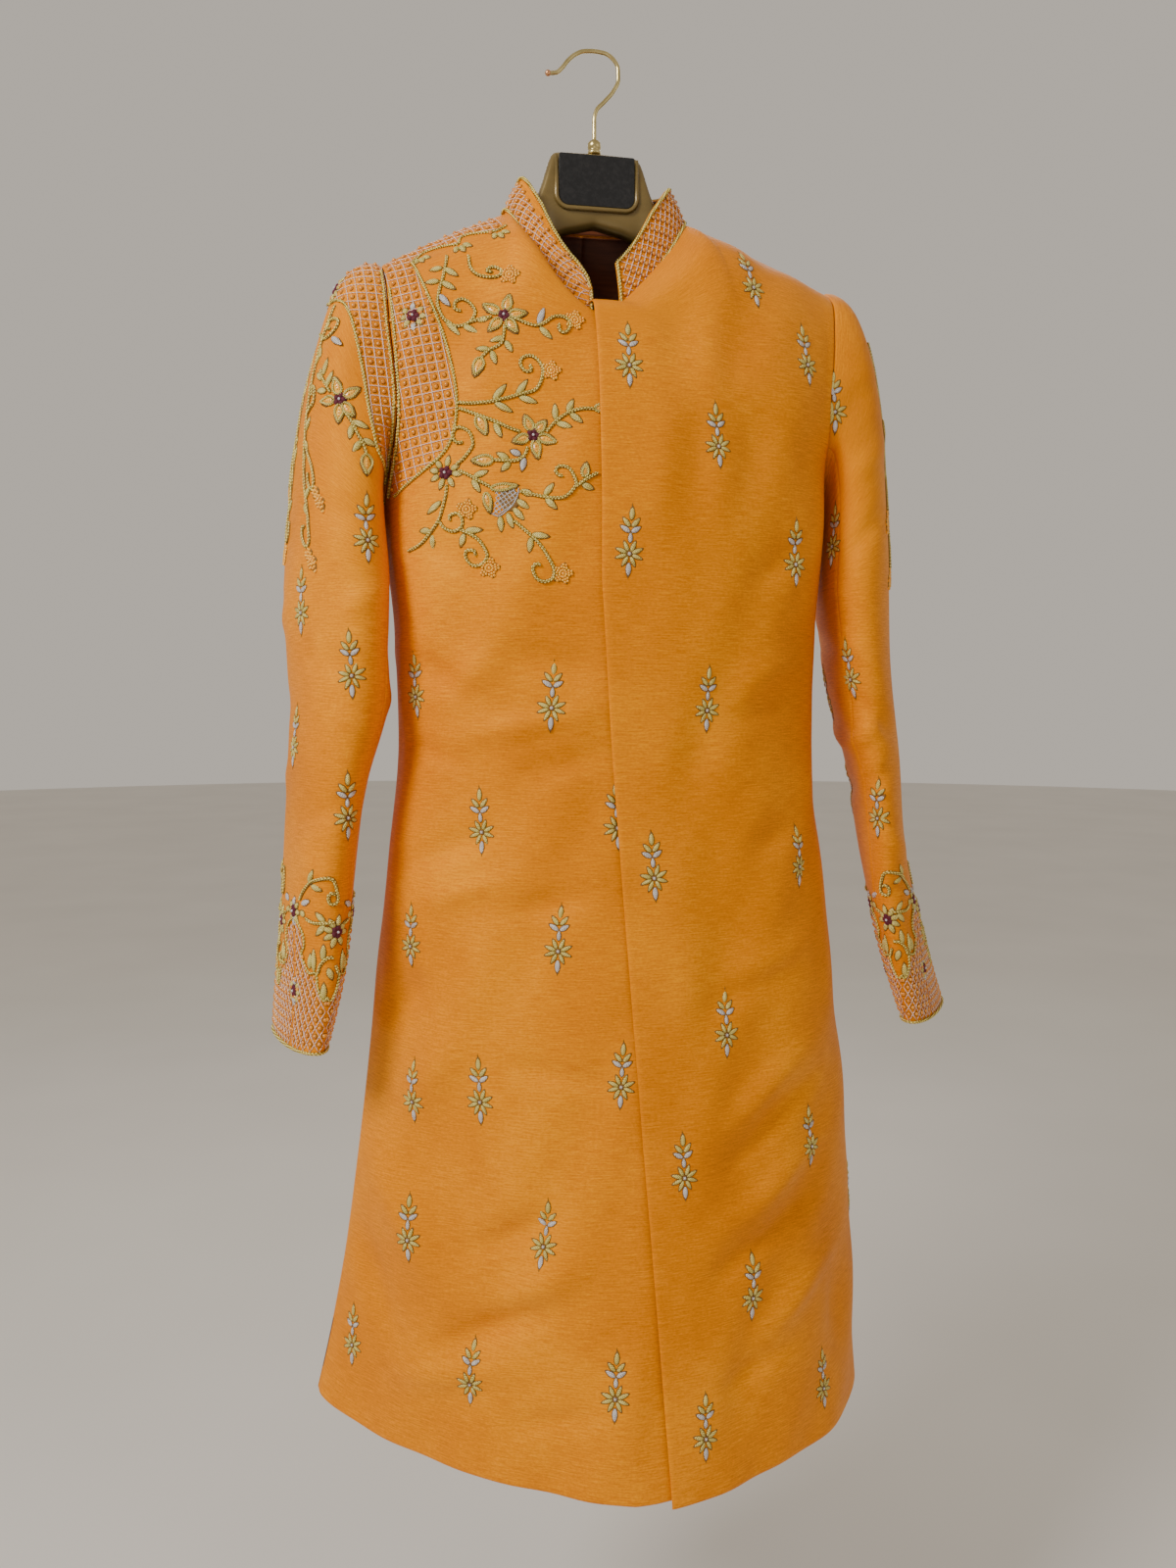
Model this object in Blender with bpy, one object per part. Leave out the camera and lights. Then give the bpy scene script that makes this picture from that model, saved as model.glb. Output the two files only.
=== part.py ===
"""A knee-length sherwani coat hanging on a moulded suit hanger.

Metres, +Z up, the coat's front faces -Y and the wearer's left is +X. The origin is the
underside of the hook's crown, where a rail bears. Every panel is a wall cut from two smooth
surfaces, a front and a back, that run through a table of body sections.
"""

import math

import bpy
import numpy as np

# Cloth and seams
CLOTH_WALL = 0.002
COLLAR_WALL = 0.003
LINING_WALL = 0.001
SEAM_GAP = 0.0003

# Driving dimensions of the coat
SHOULDER_WIDTH = 0.431
SHOULDER_SHIFT = 0.0155
SHOULDER_HEIGHT = -0.2045
SHOULDER_DEPTH = 0.004
NECK_HALF_WIDTH = 0.086
NECK_SIDE_HEIGHT = -0.1515
NECK_FRONT_DEPTH = 0.076
NECK_FRONT_HEIGHT = -0.264
NECK_FRONT_SHIFT = -0.012
NECK_LINE_POWER = 1.7
NECK_BACK_DEPTH = 0.066
NECK_BACK_HEIGHT = -0.1425
ARMPIT_HEIGHT = -0.440

# The left front laps over the right one. Its edge runs from the neck to the hem.
EDGE_TOP_X = -0.019
EDGE_CHEST_HEIGHT = -0.50
EDGE_HEM_X = 0.034
HEM_HEIGHT = -1.312
UNDERLAP = 0.045
OVERLAP_LIFT = 0.005
OVERLAP_FADE = 0.05
LEFT_HEM_EXTRA = 0.006

# Body sections from the hem up. Half widths and depths are of a rounded section with its
# power, and a reach under 90 degrees stops the section at the armhole.
BODY_COLUMNS = (
    "height centre_x half_width front_depth back_depth right_power left_power back_power reach"
).split()
BODY_SECTIONS = [
    (HEM_HEIGHT, 0.002, 0.277, 0.182, 0.132, 1.30, 1.80, 2.00, 90),
    (-1.170, 0.009, 0.261, 0.168, 0.124, 1.45, 1.85, 2.05, 90),
    (-1.010, 0.014, 0.243, 0.154, 0.115, 1.60, 1.95, 2.10, 90),
    (-0.870, 0.015, 0.228, 0.142, 0.108, 1.80, 2.05, 2.15, 90),
    (-0.750, 0.0145, 0.2145, 0.132, 0.100, 2.00, 2.15, 2.20, 90),
    (-0.640, 0.0135, 0.203, 0.126, 0.096, 2.10, 2.20, 2.25, 90),
    (-0.540, 0.0125, 0.2045, 0.129, 0.100, 2.20, 2.25, 2.30, 90),
    (ARMPIT_HEIGHT, 0.0125, 0.213, 0.129, 0.108, 2.30, 2.30, 2.35, 90),
    (-0.340, 0.013, 0.226, 0.118, 0.112, 2.35, 2.35, 2.45, 61.5),
    (-0.275, 0.0135, 0.232, 0.099, 0.100, 2.40, 2.40, 2.50, 61.5),
]
FRONT_ROWS = (20, 6)
BACK_ROWS = (18, 6)
FRONT_COLUMNS = (9, 9)
BACK_COLUMNS = (6, 6)
YOKE_SHARE = 0.52
YOKE_BULGE = 0.16
NECK_SHARE = 0.38
HEM_SIDE_RISE = (0.036, 0.008)

# Collar band
COLLAR_HEIGHTS = (0.042, 0.046, 0.031, 0.034)
COLLAR_RIGHT_END = -0.0175
COLLAR_LEFT_END = 0.010
COLLAR_LEANS = (10, 27, 12)

# Sleeve sections from the upper arm to the cuff: the centre, half sizes across and along
# the flattened tube, and how far its front fold turns in towards the body.
SLEEVE_COLUMNS = "height centre_x centre_y half_across half_along turn".split()
SLEEVE_SECTIONS = {
    "right": [
        (-0.500, -0.2465, -0.004, 0.041, 0.080, 22),
        (-0.590, -0.2450, -0.008, 0.042, 0.078, 18),
        (-0.680, -0.2565, -0.012, 0.034, 0.074, 13),
        (-0.770, -0.2670, -0.017, 0.029, 0.070, 15),
        (-0.850, -0.2740, -0.022, 0.025, 0.066, 17),
        (-0.920, -0.2855, -0.026, 0.018, 0.061, 18),
    ],
    "left": [
        (-0.500, 0.2655, 0.004, 0.036, 0.080, 14),
        (-0.590, 0.2755, 0.002, 0.032, 0.078, 16),
        (-0.680, 0.2925, 0.000, 0.026, 0.074, 18),
        (-0.770, 0.3055, -0.002, 0.023, 0.070, 22),
        (-0.850, 0.3240, -0.004, 0.023, 0.066, 28),
        (-0.930, 0.3505, -0.006, 0.016, 0.061, 38),
    ],
}
SLEEVE_SIDE = {"right": -1, "left": 1}
CAP_SWELL = {"right": 0.195, "left": 0.165, "underarm": 0.022}
CAP_RISE = 0.30
CAP_DROP = {"top": 0.30, "underarm": 0.035}
UNDER_SLEEVE_SPAN = 52
SLEEVE_STEPS = (8, 11)
ARMHOLE_GAP = 0.0008

# Back lining, as far down as it shows through the neck
LINING_BOTTOM = -0.330
LINING_COLUMNS = 7

# Hanger
HANGER_BARS = [
    # x, top, bottom, half thickness
    (0.000, -0.0925, -0.1600, 0.0125),
    (0.028, -0.0930, -0.1665, 0.0125),
    (0.041, -0.0940, -0.1720, 0.0125),
    (0.044, -0.0990, -0.1735, 0.0132),
    (0.050, -0.1200, -0.1770, 0.0140),
    (0.057, -0.1390, -0.1820, 0.0150),
    (0.066, -0.1480, -0.1890, 0.0155),
    (0.086, -0.1591, -0.2040, 0.0165),
    (0.120, -0.1727, -0.2200, 0.0175),
    (0.160, -0.1917, -0.2370, 0.0190),
    (0.190, -0.2080, -0.2475, 0.0195),
    (0.202, -0.2166, -0.2455, 0.0150),
]
WIRE_RADIUS = 0.002
HOOK_CURVE = [
    # x, z of the wire's middle, from the ferrule up and round to the tip
    (0.0000, -0.0860),
    (0.0000, -0.0600),
    (0.0020, -0.0515),
    (0.0095, -0.0430),
    (0.0180, -0.0330),
    (0.0230, -0.0220),
    (0.0228, -0.0120),
    (0.0180, -0.0035),
    (0.0095, 0.0012),
    (0.0000, 0.0020),
    (-0.0095, 0.0012),
    (-0.0180, -0.0025),
    (-0.0250, -0.0085),
    (-0.0310, -0.0160),
    (-0.0365, -0.0205),
    (-0.0440, -0.0215),
]
FERRULE_RADIUS = 0.0062
FERRULE_TOP = -0.0790
LABEL_BOX = {"left": -0.036, "right": 0.036, "top": -0.0975, "bottom": -0.1440}
LABEL_CORNER = 0.009
LABEL_WALL = 0.0012

CLOTH_ORANGE = (0.80, 0.40, 0.02)
LINING_MAROON = (0.22, 0.04, 0.02)


def clear_scene():
    for obj in list(bpy.data.objects):
        bpy.data.objects.remove(obj, do_unlink=True)


def make_material(name, colour, roughness, metallic=0.0):
    material = bpy.data.materials.new(name)
    material.use_nodes = True
    shader = material.node_tree.nodes["Principled BSDF"]
    shader.inputs["Base Color"].default_value = (*colour, 1.0)
    shader.inputs["Roughness"].default_value = roughness
    shader.inputs["Metallic"].default_value = metallic
    return material


def smooth_step(share):
    share = np.clip(share, 0.0, 1.0)
    return share * share * (3 - 2 * share)


def through(points, knots, at):
    """Smooth curves through rows of points that never swing past them, read at positions."""
    points, knots, at = np.asarray(points, float), np.asarray(knots, float), np.asarray(at, float)
    steps = np.diff(knots).reshape(-1, *([1] * (points.ndim - 1)))
    rises = np.diff(points, axis=0) / steps
    before, after = rises[:-1], rises[1:]
    near, far = 2 * steps[1:] + steps[:-1], steps[1:] + 2 * steps[:-1]
    turning = before * after <= 1e-12
    before, after = np.where(turning, 1.0, before), np.where(turning, 1.0, after)
    slopes = np.empty_like(points)
    slopes[1:-1] = np.where(turning, 0.0, (near + far) / (near / before + far / after))
    slopes[0] = 1.5 * rises[0] - 0.5 * slopes[1]
    slopes[-1] = 1.5 * rises[-1] - 0.5 * slopes[-2]
    left = np.clip(np.searchsorted(knots, at, side="right") - 1, 0, len(knots) - 2)
    width = (knots[left + 1] - knots[left]).reshape(-1, *([1] * (points.ndim - 1)))
    share = ((at - knots[left])).reshape(width.shape) / width
    square, cube = share**2, share**3
    return (
        (2 * cube - 3 * square + 1) * points[left]
        + (cube - 2 * square + share) * width * slopes[left]
        + (3 * square - 2 * cube) * points[left + 1]
        + (cube - square) * width * slopes[left + 1]
    )


def section_point(section, which, share):
    """A point on one body section. share runs from -1 at the right edge to 1 at the left."""
    angle = np.radians(section["reach"]) * share
    power = 2 / section["back_power"]
    if which == "front":
        power = 2 / np.where(share < 0, section["right_power"], section["left_power"])
    across = np.sign(angle) * np.abs(np.sin(angle)) ** power
    out = np.abs(np.cos(angle)) ** power
    facing = -1 if which == "front" else 1
    x = section["centre_x"] + section["half_width"] * across
    y = facing * section[which + "_depth"] * out
    return np.stack([x, y, np.full_like(x, section["height"])], axis=-1)


def edge_x(height):
    """Where the left front's edge lies across the chest at this height."""
    down = (EDGE_CHEST_HEIGHT - height) / (EDGE_CHEST_HEIGHT - HEM_HEIGHT)
    return EDGE_TOP_X + (EDGE_HEM_X - EDGE_TOP_X) * np.maximum(down, 0.0)


def neck_ring(degrees):
    """A point of the neck seam. 0 is the centre front, 90 the left side, 180 the back."""
    turn = np.radians(degrees)
    share = np.abs((np.asarray(degrees, float) + 180) % 360 - 180) / 90
    depth = np.where(np.cos(turn) > 0, NECK_FRONT_DEPTH, NECK_BACK_DEPTH)
    x = NECK_HALF_WIDTH * np.sin(turn) + NECK_FRONT_SHIFT * np.maximum(np.cos(turn), 0) ** 2
    climb = np.abs(np.sin(turn)) ** NECK_LINE_POWER
    front = NECK_FRONT_HEIGHT + (NECK_SIDE_HEIGHT - NECK_FRONT_HEIGHT) * climb
    behind = smooth_step(share - 1)
    back = NECK_SIDE_HEIGHT + (NECK_BACK_HEIGHT - NECK_SIDE_HEIGHT) * behind
    height = np.where(share < 1, front, back)
    return np.stack([x, -depth * np.cos(turn), height], axis=-1)


def shoulder_seam(side, share):
    """A point of the shoulder seam, from the neck at 0 to the armhole at 1."""
    neck = neck_ring(90.0 * side)
    tip = np.array(
        [SHOULDER_SHIFT + side * SHOULDER_WIDTH / 2, SHOULDER_DEPTH, SHOULDER_HEIGHT]
    )
    share = np.asarray(share, float)[..., None]
    point = neck + (tip - neck) * share
    point[..., 2] += 0.002 * np.sin(np.pi * share[..., 0])
    return point


def neck_angle_of_x(x):
    """The angle of the front neck seam's point at this x."""
    degrees = np.linspace(-90, 90, 181)
    return float(np.interp(x, neck_ring(degrees)[:, 0], degrees))


def front_top(share, panel):
    """The front's upper edge: the neckline, and past it the shoulder seam."""
    points = []
    for value in np.atleast_1d(share):
        side = 1 if value > 0 else -1
        if abs(value) >= NECK_SHARE:
            points.append(shoulder_seam(side, (abs(value) - NECK_SHARE) / (1 - NECK_SHARE)))
            continue
        x = neck_ring(90 * value / NECK_SHARE)[0]
        end = COLLAR_LEFT_END if panel == "left" else COLLAR_RIGHT_END
        past_the_end = x < end if panel == "left" else x > end
        point = neck_ring(neck_angle_of_x(end if past_the_end else x))
        point[0] = x
        point[1] = neck_ring(neck_angle_of_x(x))[1]
        points.append(point)
    return np.array(points)


def back_top(share):
    """The back's upper edge: the back neckline, and past it the shoulder seam."""
    points = []
    for value in np.atleast_1d(share):
        side = 1 if value > 0 else -1
        if abs(value) >= NECK_SHARE:
            points.append(shoulder_seam(side, (abs(value) - NECK_SHARE) / (1 - NECK_SHARE)))
        else:
            points.append(neck_ring(180.0 - 90.0 * value / NECK_SHARE))
    return np.array(points)


def sections():
    return [dict(zip(BODY_COLUMNS, row)) for row in BODY_SECTIONS]


def body_rows(which, shares, panel=""):
    """Control rows of a body surface, hem first, for columns at these shares."""
    rows = [section_point(section, which, shares) for section in sections()]
    rise = (HEM_SIDE_RISE[1] + HEM_SIDE_RISE[0]) / 2
    lean = (HEM_SIDE_RISE[1] - HEM_SIDE_RISE[0]) / 2
    sided = rise + lean * np.sin(np.pi / 2 * shares)
    rows[0][:, 2] += sided * (np.abs(shares) ** 1.5 if which == "front" else 1)
    if panel == "left":
        rows[0][:, 2] -= LEFT_HEM_EXTRA * (1 - np.abs(shares)) ** 0.5
    top = front_top(shares, panel) if which == "front" else back_top(shares)
    climb = top - rows[-1]
    yoke = rows[-1] + YOKE_SHARE * climb
    reach = np.linalg.norm(climb, axis=1)
    facing = -1 if which == "front" else 1
    yoke[:, 1] += facing * YOKE_BULGE * reach
    yoke[:, 2] += 0.5 * YOKE_BULGE * reach
    return np.array(rows + [yoke, top])


def row_knots():
    heights = [row[0] for row in BODY_SECTIONS]
    climbed = [height - heights[0] for height in heights]
    return np.array([*climbed, climbed[-1] + 0.045, climbed[-1] + 0.09])


def body_surface(which, shares, heights, panel=""):
    """Points of the front or back surface. shares may differ from row to row."""
    shares = np.asarray(shares, float)
    if shares.ndim == 1:
        shares = np.broadcast_to(shares, (len(heights), len(shares)))
    rows = []
    for share_row, height in zip(shares, heights):
        control = body_rows(which, share_row, panel)
        rows.append(through(control, row_knots(), [height])[0])
    return np.array(rows)


def normals_of(grid, positions, side_seam, shoulder, centre_seam=None):
    """Unit normals of a panel. At its seams they lie in the plane of the seam.

    The seams are the column at the side up to the armpit, the columns that end in the
    shoulder seam and, on the back, the column at the centre.
    """
    normal = np.cross(np.gradient(grid, axis=1), np.gradient(grid, axis=0))
    normal[height_at(positions) <= ARMPIT_HEIGHT + 0.001, side_seam, 1] = 0
    normal[-1, shoulder, 1] = 0
    if centre_seam is not None:
        normal[:, centre_seam, 0] = 0
    return normal / np.linalg.norm(normal, axis=2, keepdims=True)


def close_seams(grid, shoulder, facing):
    """Draw a panel's top row back by half a gap, down at the neck and off the shoulder seam."""
    grid[-1, :, 2] -= 0.5 * SEAM_GAP
    grid[-1, shoulder, 1] += facing * 0.5 * SEAM_GAP


def wall_object(name, outer, inner, material, closed=False):
    """One closed wall between two grids of points."""
    rows, columns = outer.shape[:2]
    points = np.concatenate([outer.reshape(-1, 3), inner.reshape(-1, 3)])
    under = rows * columns
    faces = []
    last = columns if closed else columns - 1
    for r in range(rows - 1):
        for c in range(last):
            d = (c + 1) % columns
            quad = [r * columns + c, r * columns + d, (r + 1) * columns + d, (r + 1) * columns + c]
            p, q, s, t = quad
            faces += [(p, q, s), (p, s, t)]
            faces += [(under + p, under + s, under + q), (under + p, under + t, under + s)]
    for r, turned in ((0, False), (rows - 1, True)):
        for c in range(last):
            a, b = r * columns + c, r * columns + (c + 1) % columns
            quad = [b, a, under + a, under + b]
            faces.append(quad[::-1] if turned else quad)
    if not closed:
        for c, turned in ((0, False), (columns - 1, True)):
            for r in range(rows - 1):
                a, b = r * columns + c, (r + 1) * columns + c
                quad = [a, b, under + b, under + a]
                faces.append(quad[::-1] if turned else quad)
    return mesh_object(name, points, faces, material)


def mesh_object(name, points, faces, material):
    mesh = bpy.data.meshes.new(name)
    mesh.from_pydata([tuple(p) for p in points], [], faces)
    mesh.update()
    mesh.shade_smooth()
    obj = bpy.data.objects.new(name, mesh)
    bpy.context.scene.collection.objects.link(obj)
    obj.data.materials.append(material)
    return obj


def panel_rows(count, top_count):
    """Row positions, even up to the armhole and closer over the shoulder."""
    knots = row_knots()
    low = np.linspace(knots[0], knots[-3], count)
    high = np.linspace(knots[-3], knots[-1], top_count + 1)[1:]
    return np.concatenate([low, high])


def height_at(position):
    heights = [row[0] for row in BODY_SECTIONS]
    return np.interp(position, row_knots()[: len(heights)], heights)


def share_of_x(position, x, panel):
    """The share of the front surface that lies at this x in one row."""
    shares = np.linspace(-0.5, 0.6, 111)
    row = body_surface("front", shares, [position], panel)[0]
    return float(np.interp(x, row[:, 0], shares))


def panel_shares(start, end, counts, stop=0.0):
    """Columns from the centre to the seam, with one column at the side of the neck.

    stop is a part of the way to that column where another column is wanted.
    """
    corner = math.copysign(NECK_SHARE, end)
    before = round(stop * counts[0])
    inner = np.linspace(stop, 1, counts[0] - before)
    inner = np.concatenate([np.linspace(0, stop, before + 1)[:-1], inner])
    outer = np.linspace(corner, end, counts[1])[1:]
    return np.concatenate([start + (corner - start) * inner, outer])


def lift_at(x, height):
    """How far the left front stands off the right one at this x, fading past the underlap."""
    past = (x - edge_x(height) - UNDERLAP) / OVERLAP_FADE
    return OVERLAP_LIFT * (1 - smooth_step(past))


def seam_trim(length):
    return 0.5 * SEAM_GAP / length


def front_grid(panel):
    """One front's surface, its normals and the shares of its columns."""
    side = 1 if panel == "left" else -1
    positions = panel_rows(*FRONT_ROWS)
    starts = []
    for position in positions:
        x = edge_x(height_at(position)) + (0 if side > 0 else UNDERLAP)
        starts.append(share_of_x(position, x, panel))
    collar_end = neck_angle_of_x(COLLAR_LEFT_END if side > 0 else COLLAR_RIGHT_END)
    corner = side * NECK_SHARE
    stop = (collar_end / 90 * NECK_SHARE - starts[-1]) / (corner - starts[-1])
    shares = []
    for start in starts:
        row = panel_shares(start, side * (1 - seam_trim(0.30)), FRONT_COLUMNS, stop)
        shares.append(row[::side])
    shares = np.array(shares)
    grid = body_surface("front", shares, positions, panel)
    side_seam = -1 if side > 0 else 0
    shoulder = np.abs(shares[-1]) > NECK_SHARE - 0.001
    normal = normals_of(grid, positions, side_seam, shoulder)
    if panel == "left":
        lift = lift_at(grid[..., 0], height_at(positions)[:, None])
        grid = grid + normal * lift[..., None]
        normal = normals_of(grid, positions, side_seam, shoulder)
    close_seams(grid, shoulder, -1)
    return grid, normal, shares


def front_panel(name, panel, material):
    grid, normal, _ = front_grid(panel)
    return wall_object(name, grid, grid - normal * CLOTH_WALL, material)


def back_grid(side):
    """One half of the back and its normals, columns from the wearer's left to the right."""
    positions = panel_rows(*BACK_ROWS)
    shares = panel_shares(side * seam_trim(0.24), side * (1 - seam_trim(0.24)), BACK_COLUMNS)
    grid = body_surface("back", shares, positions)
    if side > 0:
        grid, shares = grid[:, ::-1], shares[::-1]
    shoulder = np.abs(shares) > NECK_SHARE - 0.001
    side_seam, centre_seam = (0, -1) if side > 0 else (-1, 0)
    normal = normals_of(grid, positions, side_seam, shoulder, centre_seam)
    close_seams(grid, shoulder, 1)
    return grid, normal


def back_panel(name, side, material):
    grid, normal = back_grid(side)
    return wall_object(name, grid, grid - normal * CLOTH_WALL, material)


def back_lining(material):
    """The lining inside the back neck, one piece across the centre seam."""
    left, left_normal = back_grid(1)
    right, right_normal = back_grid(-1)
    rows = height_at(panel_rows(*BACK_ROWS)) >= LINING_BOTTOM
    near, far = slice(-LINING_COLUMNS, None), slice(LINING_COLUMNS)
    grid = np.concatenate([left[rows][:, near], right[rows][:, far]], axis=1)
    normal = np.concatenate([left_normal[rows][:, near], right_normal[rows][:, far]], axis=1)
    outer = grid - normal * (CLOTH_WALL + SEAM_GAP)
    return wall_object("back_lining", outer, outer - normal * LINING_WALL, material)


def neck_seam():
    """The panels' own corners along the neck and their angles, from the left end round."""
    points, degrees = [], []
    for panel, collar_end in (("left", COLLAR_LEFT_END), ("right", COLLAR_RIGHT_END)):
        grid, _, shares = front_grid(panel)
        turns = 90 * shares[-1] / NECK_SHARE
        inside = np.abs(turns) < 90.01
        past = turns - neck_angle_of_x(collar_end)
        inside &= (past > -0.01) if panel == "left" else (past < 0.01)
        points.append(grid[-1, inside])
        degrees.append(turns[inside] % 360)
    corners = BACK_COLUMNS[0] - 1
    back_turns = 90 * panel_shares(0, 1, BACK_COLUMNS)[1:corners] / NECK_SHARE
    points[1:1] = [back_grid(1)[0][-1, -corners:-1], back_grid(-1)[0][-1, 1:corners]]
    degrees[1:1] = [180 - back_turns[::-1], 180 + back_turns]
    return np.concatenate(points), np.concatenate(degrees)


def collar(material):
    """The stand band from the right end round the back to the left end."""
    seam, degrees = neck_seam()
    turn = np.radians(degrees)
    outward = np.stack([np.sin(turn), -np.cos(turn), np.zeros_like(turn)], axis=-1)
    fold = np.abs((degrees + 180) % 360 - 180) / 90
    lean = np.radians(np.interp(fold, (0, 1, 2), COLLAR_LEANS))[:, None]
    rise = np.array([0.0, 0.0, 1.0])
    up = np.cos(lean) * rise - np.sin(lean) * outward
    face = np.cos(lean) * outward + np.sin(lean) * rise
    height = np.interp(fold, (0, 0.5, 1, 2), COLLAR_HEIGHTS)[:, None]
    rows = []
    for share in (0.0, 0.5, 1.0):
        rows.append(seam + SEAM_GAP * rise + share * height * up)
    outer = np.array(rows)
    inner = outer - face * COLLAR_WALL
    return wall_object("collar", outer, inner, material)


def armhole_ring(side, degrees):
    """The armhole seam. 0 is the underarm, 90 the front, 180 the shoulder, 270 the back."""
    knots = row_knots()
    armpit = ARMPIT_HEIGHT - HEM_HEIGHT
    points = []
    for value in degrees:
        turn = value % 360
        which = "front" if turn <= 180 else "back"
        climb = turn / 180 if turn <= 180 else (360 - turn) / 180
        position = armpit + (knots[-1] - armpit) * climb
        panel = {1: "left", -1: "right"}[side] if which == "front" else ""
        points.append(body_surface(which, [float(side)], [position], panel)[0, 0])
    return np.array(points)


def sleeve_ring(section, side, degrees):
    """A flattened ring of the sleeve, starting at the underarm and going round by the front."""
    turn = np.radians(degrees)
    across = -section["half_across"] * np.cos(turn) * side
    along = -section["half_along"] * np.sin(turn)
    tilt = math.radians(section["turn"]) * side
    x = section["centre_x"] + across * math.cos(tilt) + along * math.sin(tilt)
    y = section["centre_y"] - across * math.sin(tilt) + along * math.cos(tilt)
    return np.stack([x, y, np.full_like(x, section["height"])], axis=-1)


def sleeve_surface(name, degrees, cap_steps, arm_steps):
    """Rows of points from the armhole to the cuff."""
    side = SLEEVE_SIDE[name]
    table = [dict(zip(SLEEVE_COLUMNS, row)) for row in SLEEVE_SECTIONS[name]]
    rings = np.array([sleeve_ring(section, side, degrees) for section in table])
    heights = np.array([section["height"] for section in table])
    armhole = armhole_ring(side, degrees)
    topness = ((1 - np.cos(np.radians(degrees))) / 2)[:, None]
    swell = CAP_SWELL["underarm"] + (CAP_SWELL[name] - CAP_SWELL["underarm"]) * topness
    drop = CAP_DROP["underarm"] + (CAP_DROP["top"] - CAP_DROP["underarm"]) * topness
    leave = np.concatenate(
        [side * swell, 0 * swell, CAP_RISE * topness**2 * swell], axis=1
    )
    arrive = np.array([side * 0.03, 0.0, -1.0]) * drop
    start = armhole + np.array([side * ARMHOLE_GAP, 0.0, 0.0])
    rows = []
    for share in np.linspace(0, 1, cap_steps + 1)[:-1]:
        square, cube = share**2, share**3
        rows.append(
            (2 * cube - 3 * square + 1) * start
            + (cube - 2 * square + share) * leave
            + (3 * square - 2 * cube) * rings[0]
            + (cube - square) * arrive
        )
    at = np.linspace(0, 1, arm_steps + 1) * (heights[0] - heights[-1])
    rows.extend(through(rings, heights[0] - heights, at))
    return np.array(rows)


def sleeve_piece(name, which, material):
    """The upper sleeve or the under sleeve as a wall from armhole to cuff."""
    side = SLEEVE_SIDE[name]
    trim = math.degrees(0.5 * SEAM_GAP / 0.035)
    if which == "upper":
        degrees = np.linspace(UNDER_SLEEVE_SPAN + trim, 360 - UNDER_SLEEVE_SPAN - trim, 17)
    else:
        degrees = np.linspace(-UNDER_SLEEVE_SPAN + trim, UNDER_SLEEVE_SPAN - trim, 8)
    steps = SLEEVE_STEPS
    grid = sleeve_surface(name, degrees, *steps)
    around = sleeve_surface(name, degrees + 1, *steps) - sleeve_surface(name, degrees - 1, *steps)
    inward = side * np.cross(around, np.gradient(grid, axis=0))
    inward /= np.linalg.norm(inward, axis=2, keepdims=True)
    inner = grid + inward * CLOTH_WALL
    if side > 0:
        grid, inner = grid[:, ::-1], inner[:, ::-1]
    return wall_object(f"sleeve_{name}_{which}", grid, inner, material)


def ring_faces(rings, count):
    """The faces of a closed body swept through rings of points."""
    faces = [list(range(count))[::-1]]
    for r in range(rings - 1):
        for c in range(count):
            d = (c + 1) % count
            faces.append([r * count + c, r * count + d, (r + 1) * count + d, (r + 1) * count + c])
    faces.append([(rings - 1) * count + c for c in range(count)])
    return faces


def rounded_ring(half_depth, top, bottom, power, count):
    """A rounded upright section of the hanger, as y and z."""
    turn = np.linspace(0, 2 * np.pi, count, endpoint=False)
    middle, half = (top + bottom) / 2, (top - bottom) / 2
    y = half_depth * np.sign(np.cos(turn)) * np.abs(np.cos(turn)) ** (2 / power)
    z = middle + half * np.sign(np.sin(turn)) * np.abs(np.sin(turn)) ** (2 / power)
    return y, z


def hanger_body(material):
    """The moulded hanger: sections across x, from the right tip to the left tip."""
    right = [(-x, *rest) for x, *rest in reversed(HANGER_BARS[1:])]
    bars = right + HANGER_BARS
    stations = np.union1d([b[0] for b in bars], np.linspace(bars[0][0], bars[-1][0], 41))
    columns = [np.interp(stations, [b[0] for b in bars], [b[k] for b in bars]) for k in (1, 2, 3)]
    rings = []
    count = 12
    for x, top, bottom, half in zip(stations, *columns):
        y, z = rounded_ring(half, top, bottom, 3.2, count)
        rings.append(np.stack([np.full(count, x), y, z], axis=-1))
    faces = ring_faces(len(rings), count)
    return mesh_object("hanger_body", np.concatenate(rings), faces, material)


def label_plate(material):
    """A bare plate on the hanger's front, with rounded lower corners."""
    box, corner = LABEL_BOX, LABEL_CORNER
    outline = [(box["left"], box["top"]), (box["right"], box["top"])]
    for side, start in ((1, 0), (-1, -90)):
        centre_x = (box["right"] - corner) if side > 0 else (box["left"] + corner)
        centre_z = box["bottom"] + corner
        for step in range(6):
            turn = math.radians(start - 18 * step)
            outline.append((centre_x + corner * math.cos(turn), centre_z + corner * math.sin(turn)))
    front = HANGER_BARS[0][3] + SEAM_GAP
    count = len(outline)
    points = [(x, -front, z) for x, z in outline]
    points += [(x, -front - LABEL_WALL, z) for x, z in outline]
    faces = [list(range(count)), [count + i for i in reversed(range(count))]]
    for i in range(count):
        j = (i + 1) % count
        faces.append([j, i, count + i, count + j])
    plate = mesh_object("hanger_label", points, faces, material)
    return plate


def ferrule(material):
    """The turned socket that the wire hook is set in."""
    bottom = HANGER_BARS[0][1] + SEAM_GAP
    bpy.ops.mesh.primitive_cylinder_add(
        vertices=24,
        radius=FERRULE_RADIUS,
        depth=FERRULE_TOP - bottom,
        location=(0, 0, (FERRULE_TOP + bottom) / 2),
    )
    socket = bpy.context.object
    socket.name = "hanger_ferrule"
    bevel = socket.modifiers.new("rim", "BEVEL")
    bevel.width = 0.0012
    bevel.segments = 2
    bevel.limit_method = "ANGLE"
    socket.data.materials.append(material)
    return socket


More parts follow.
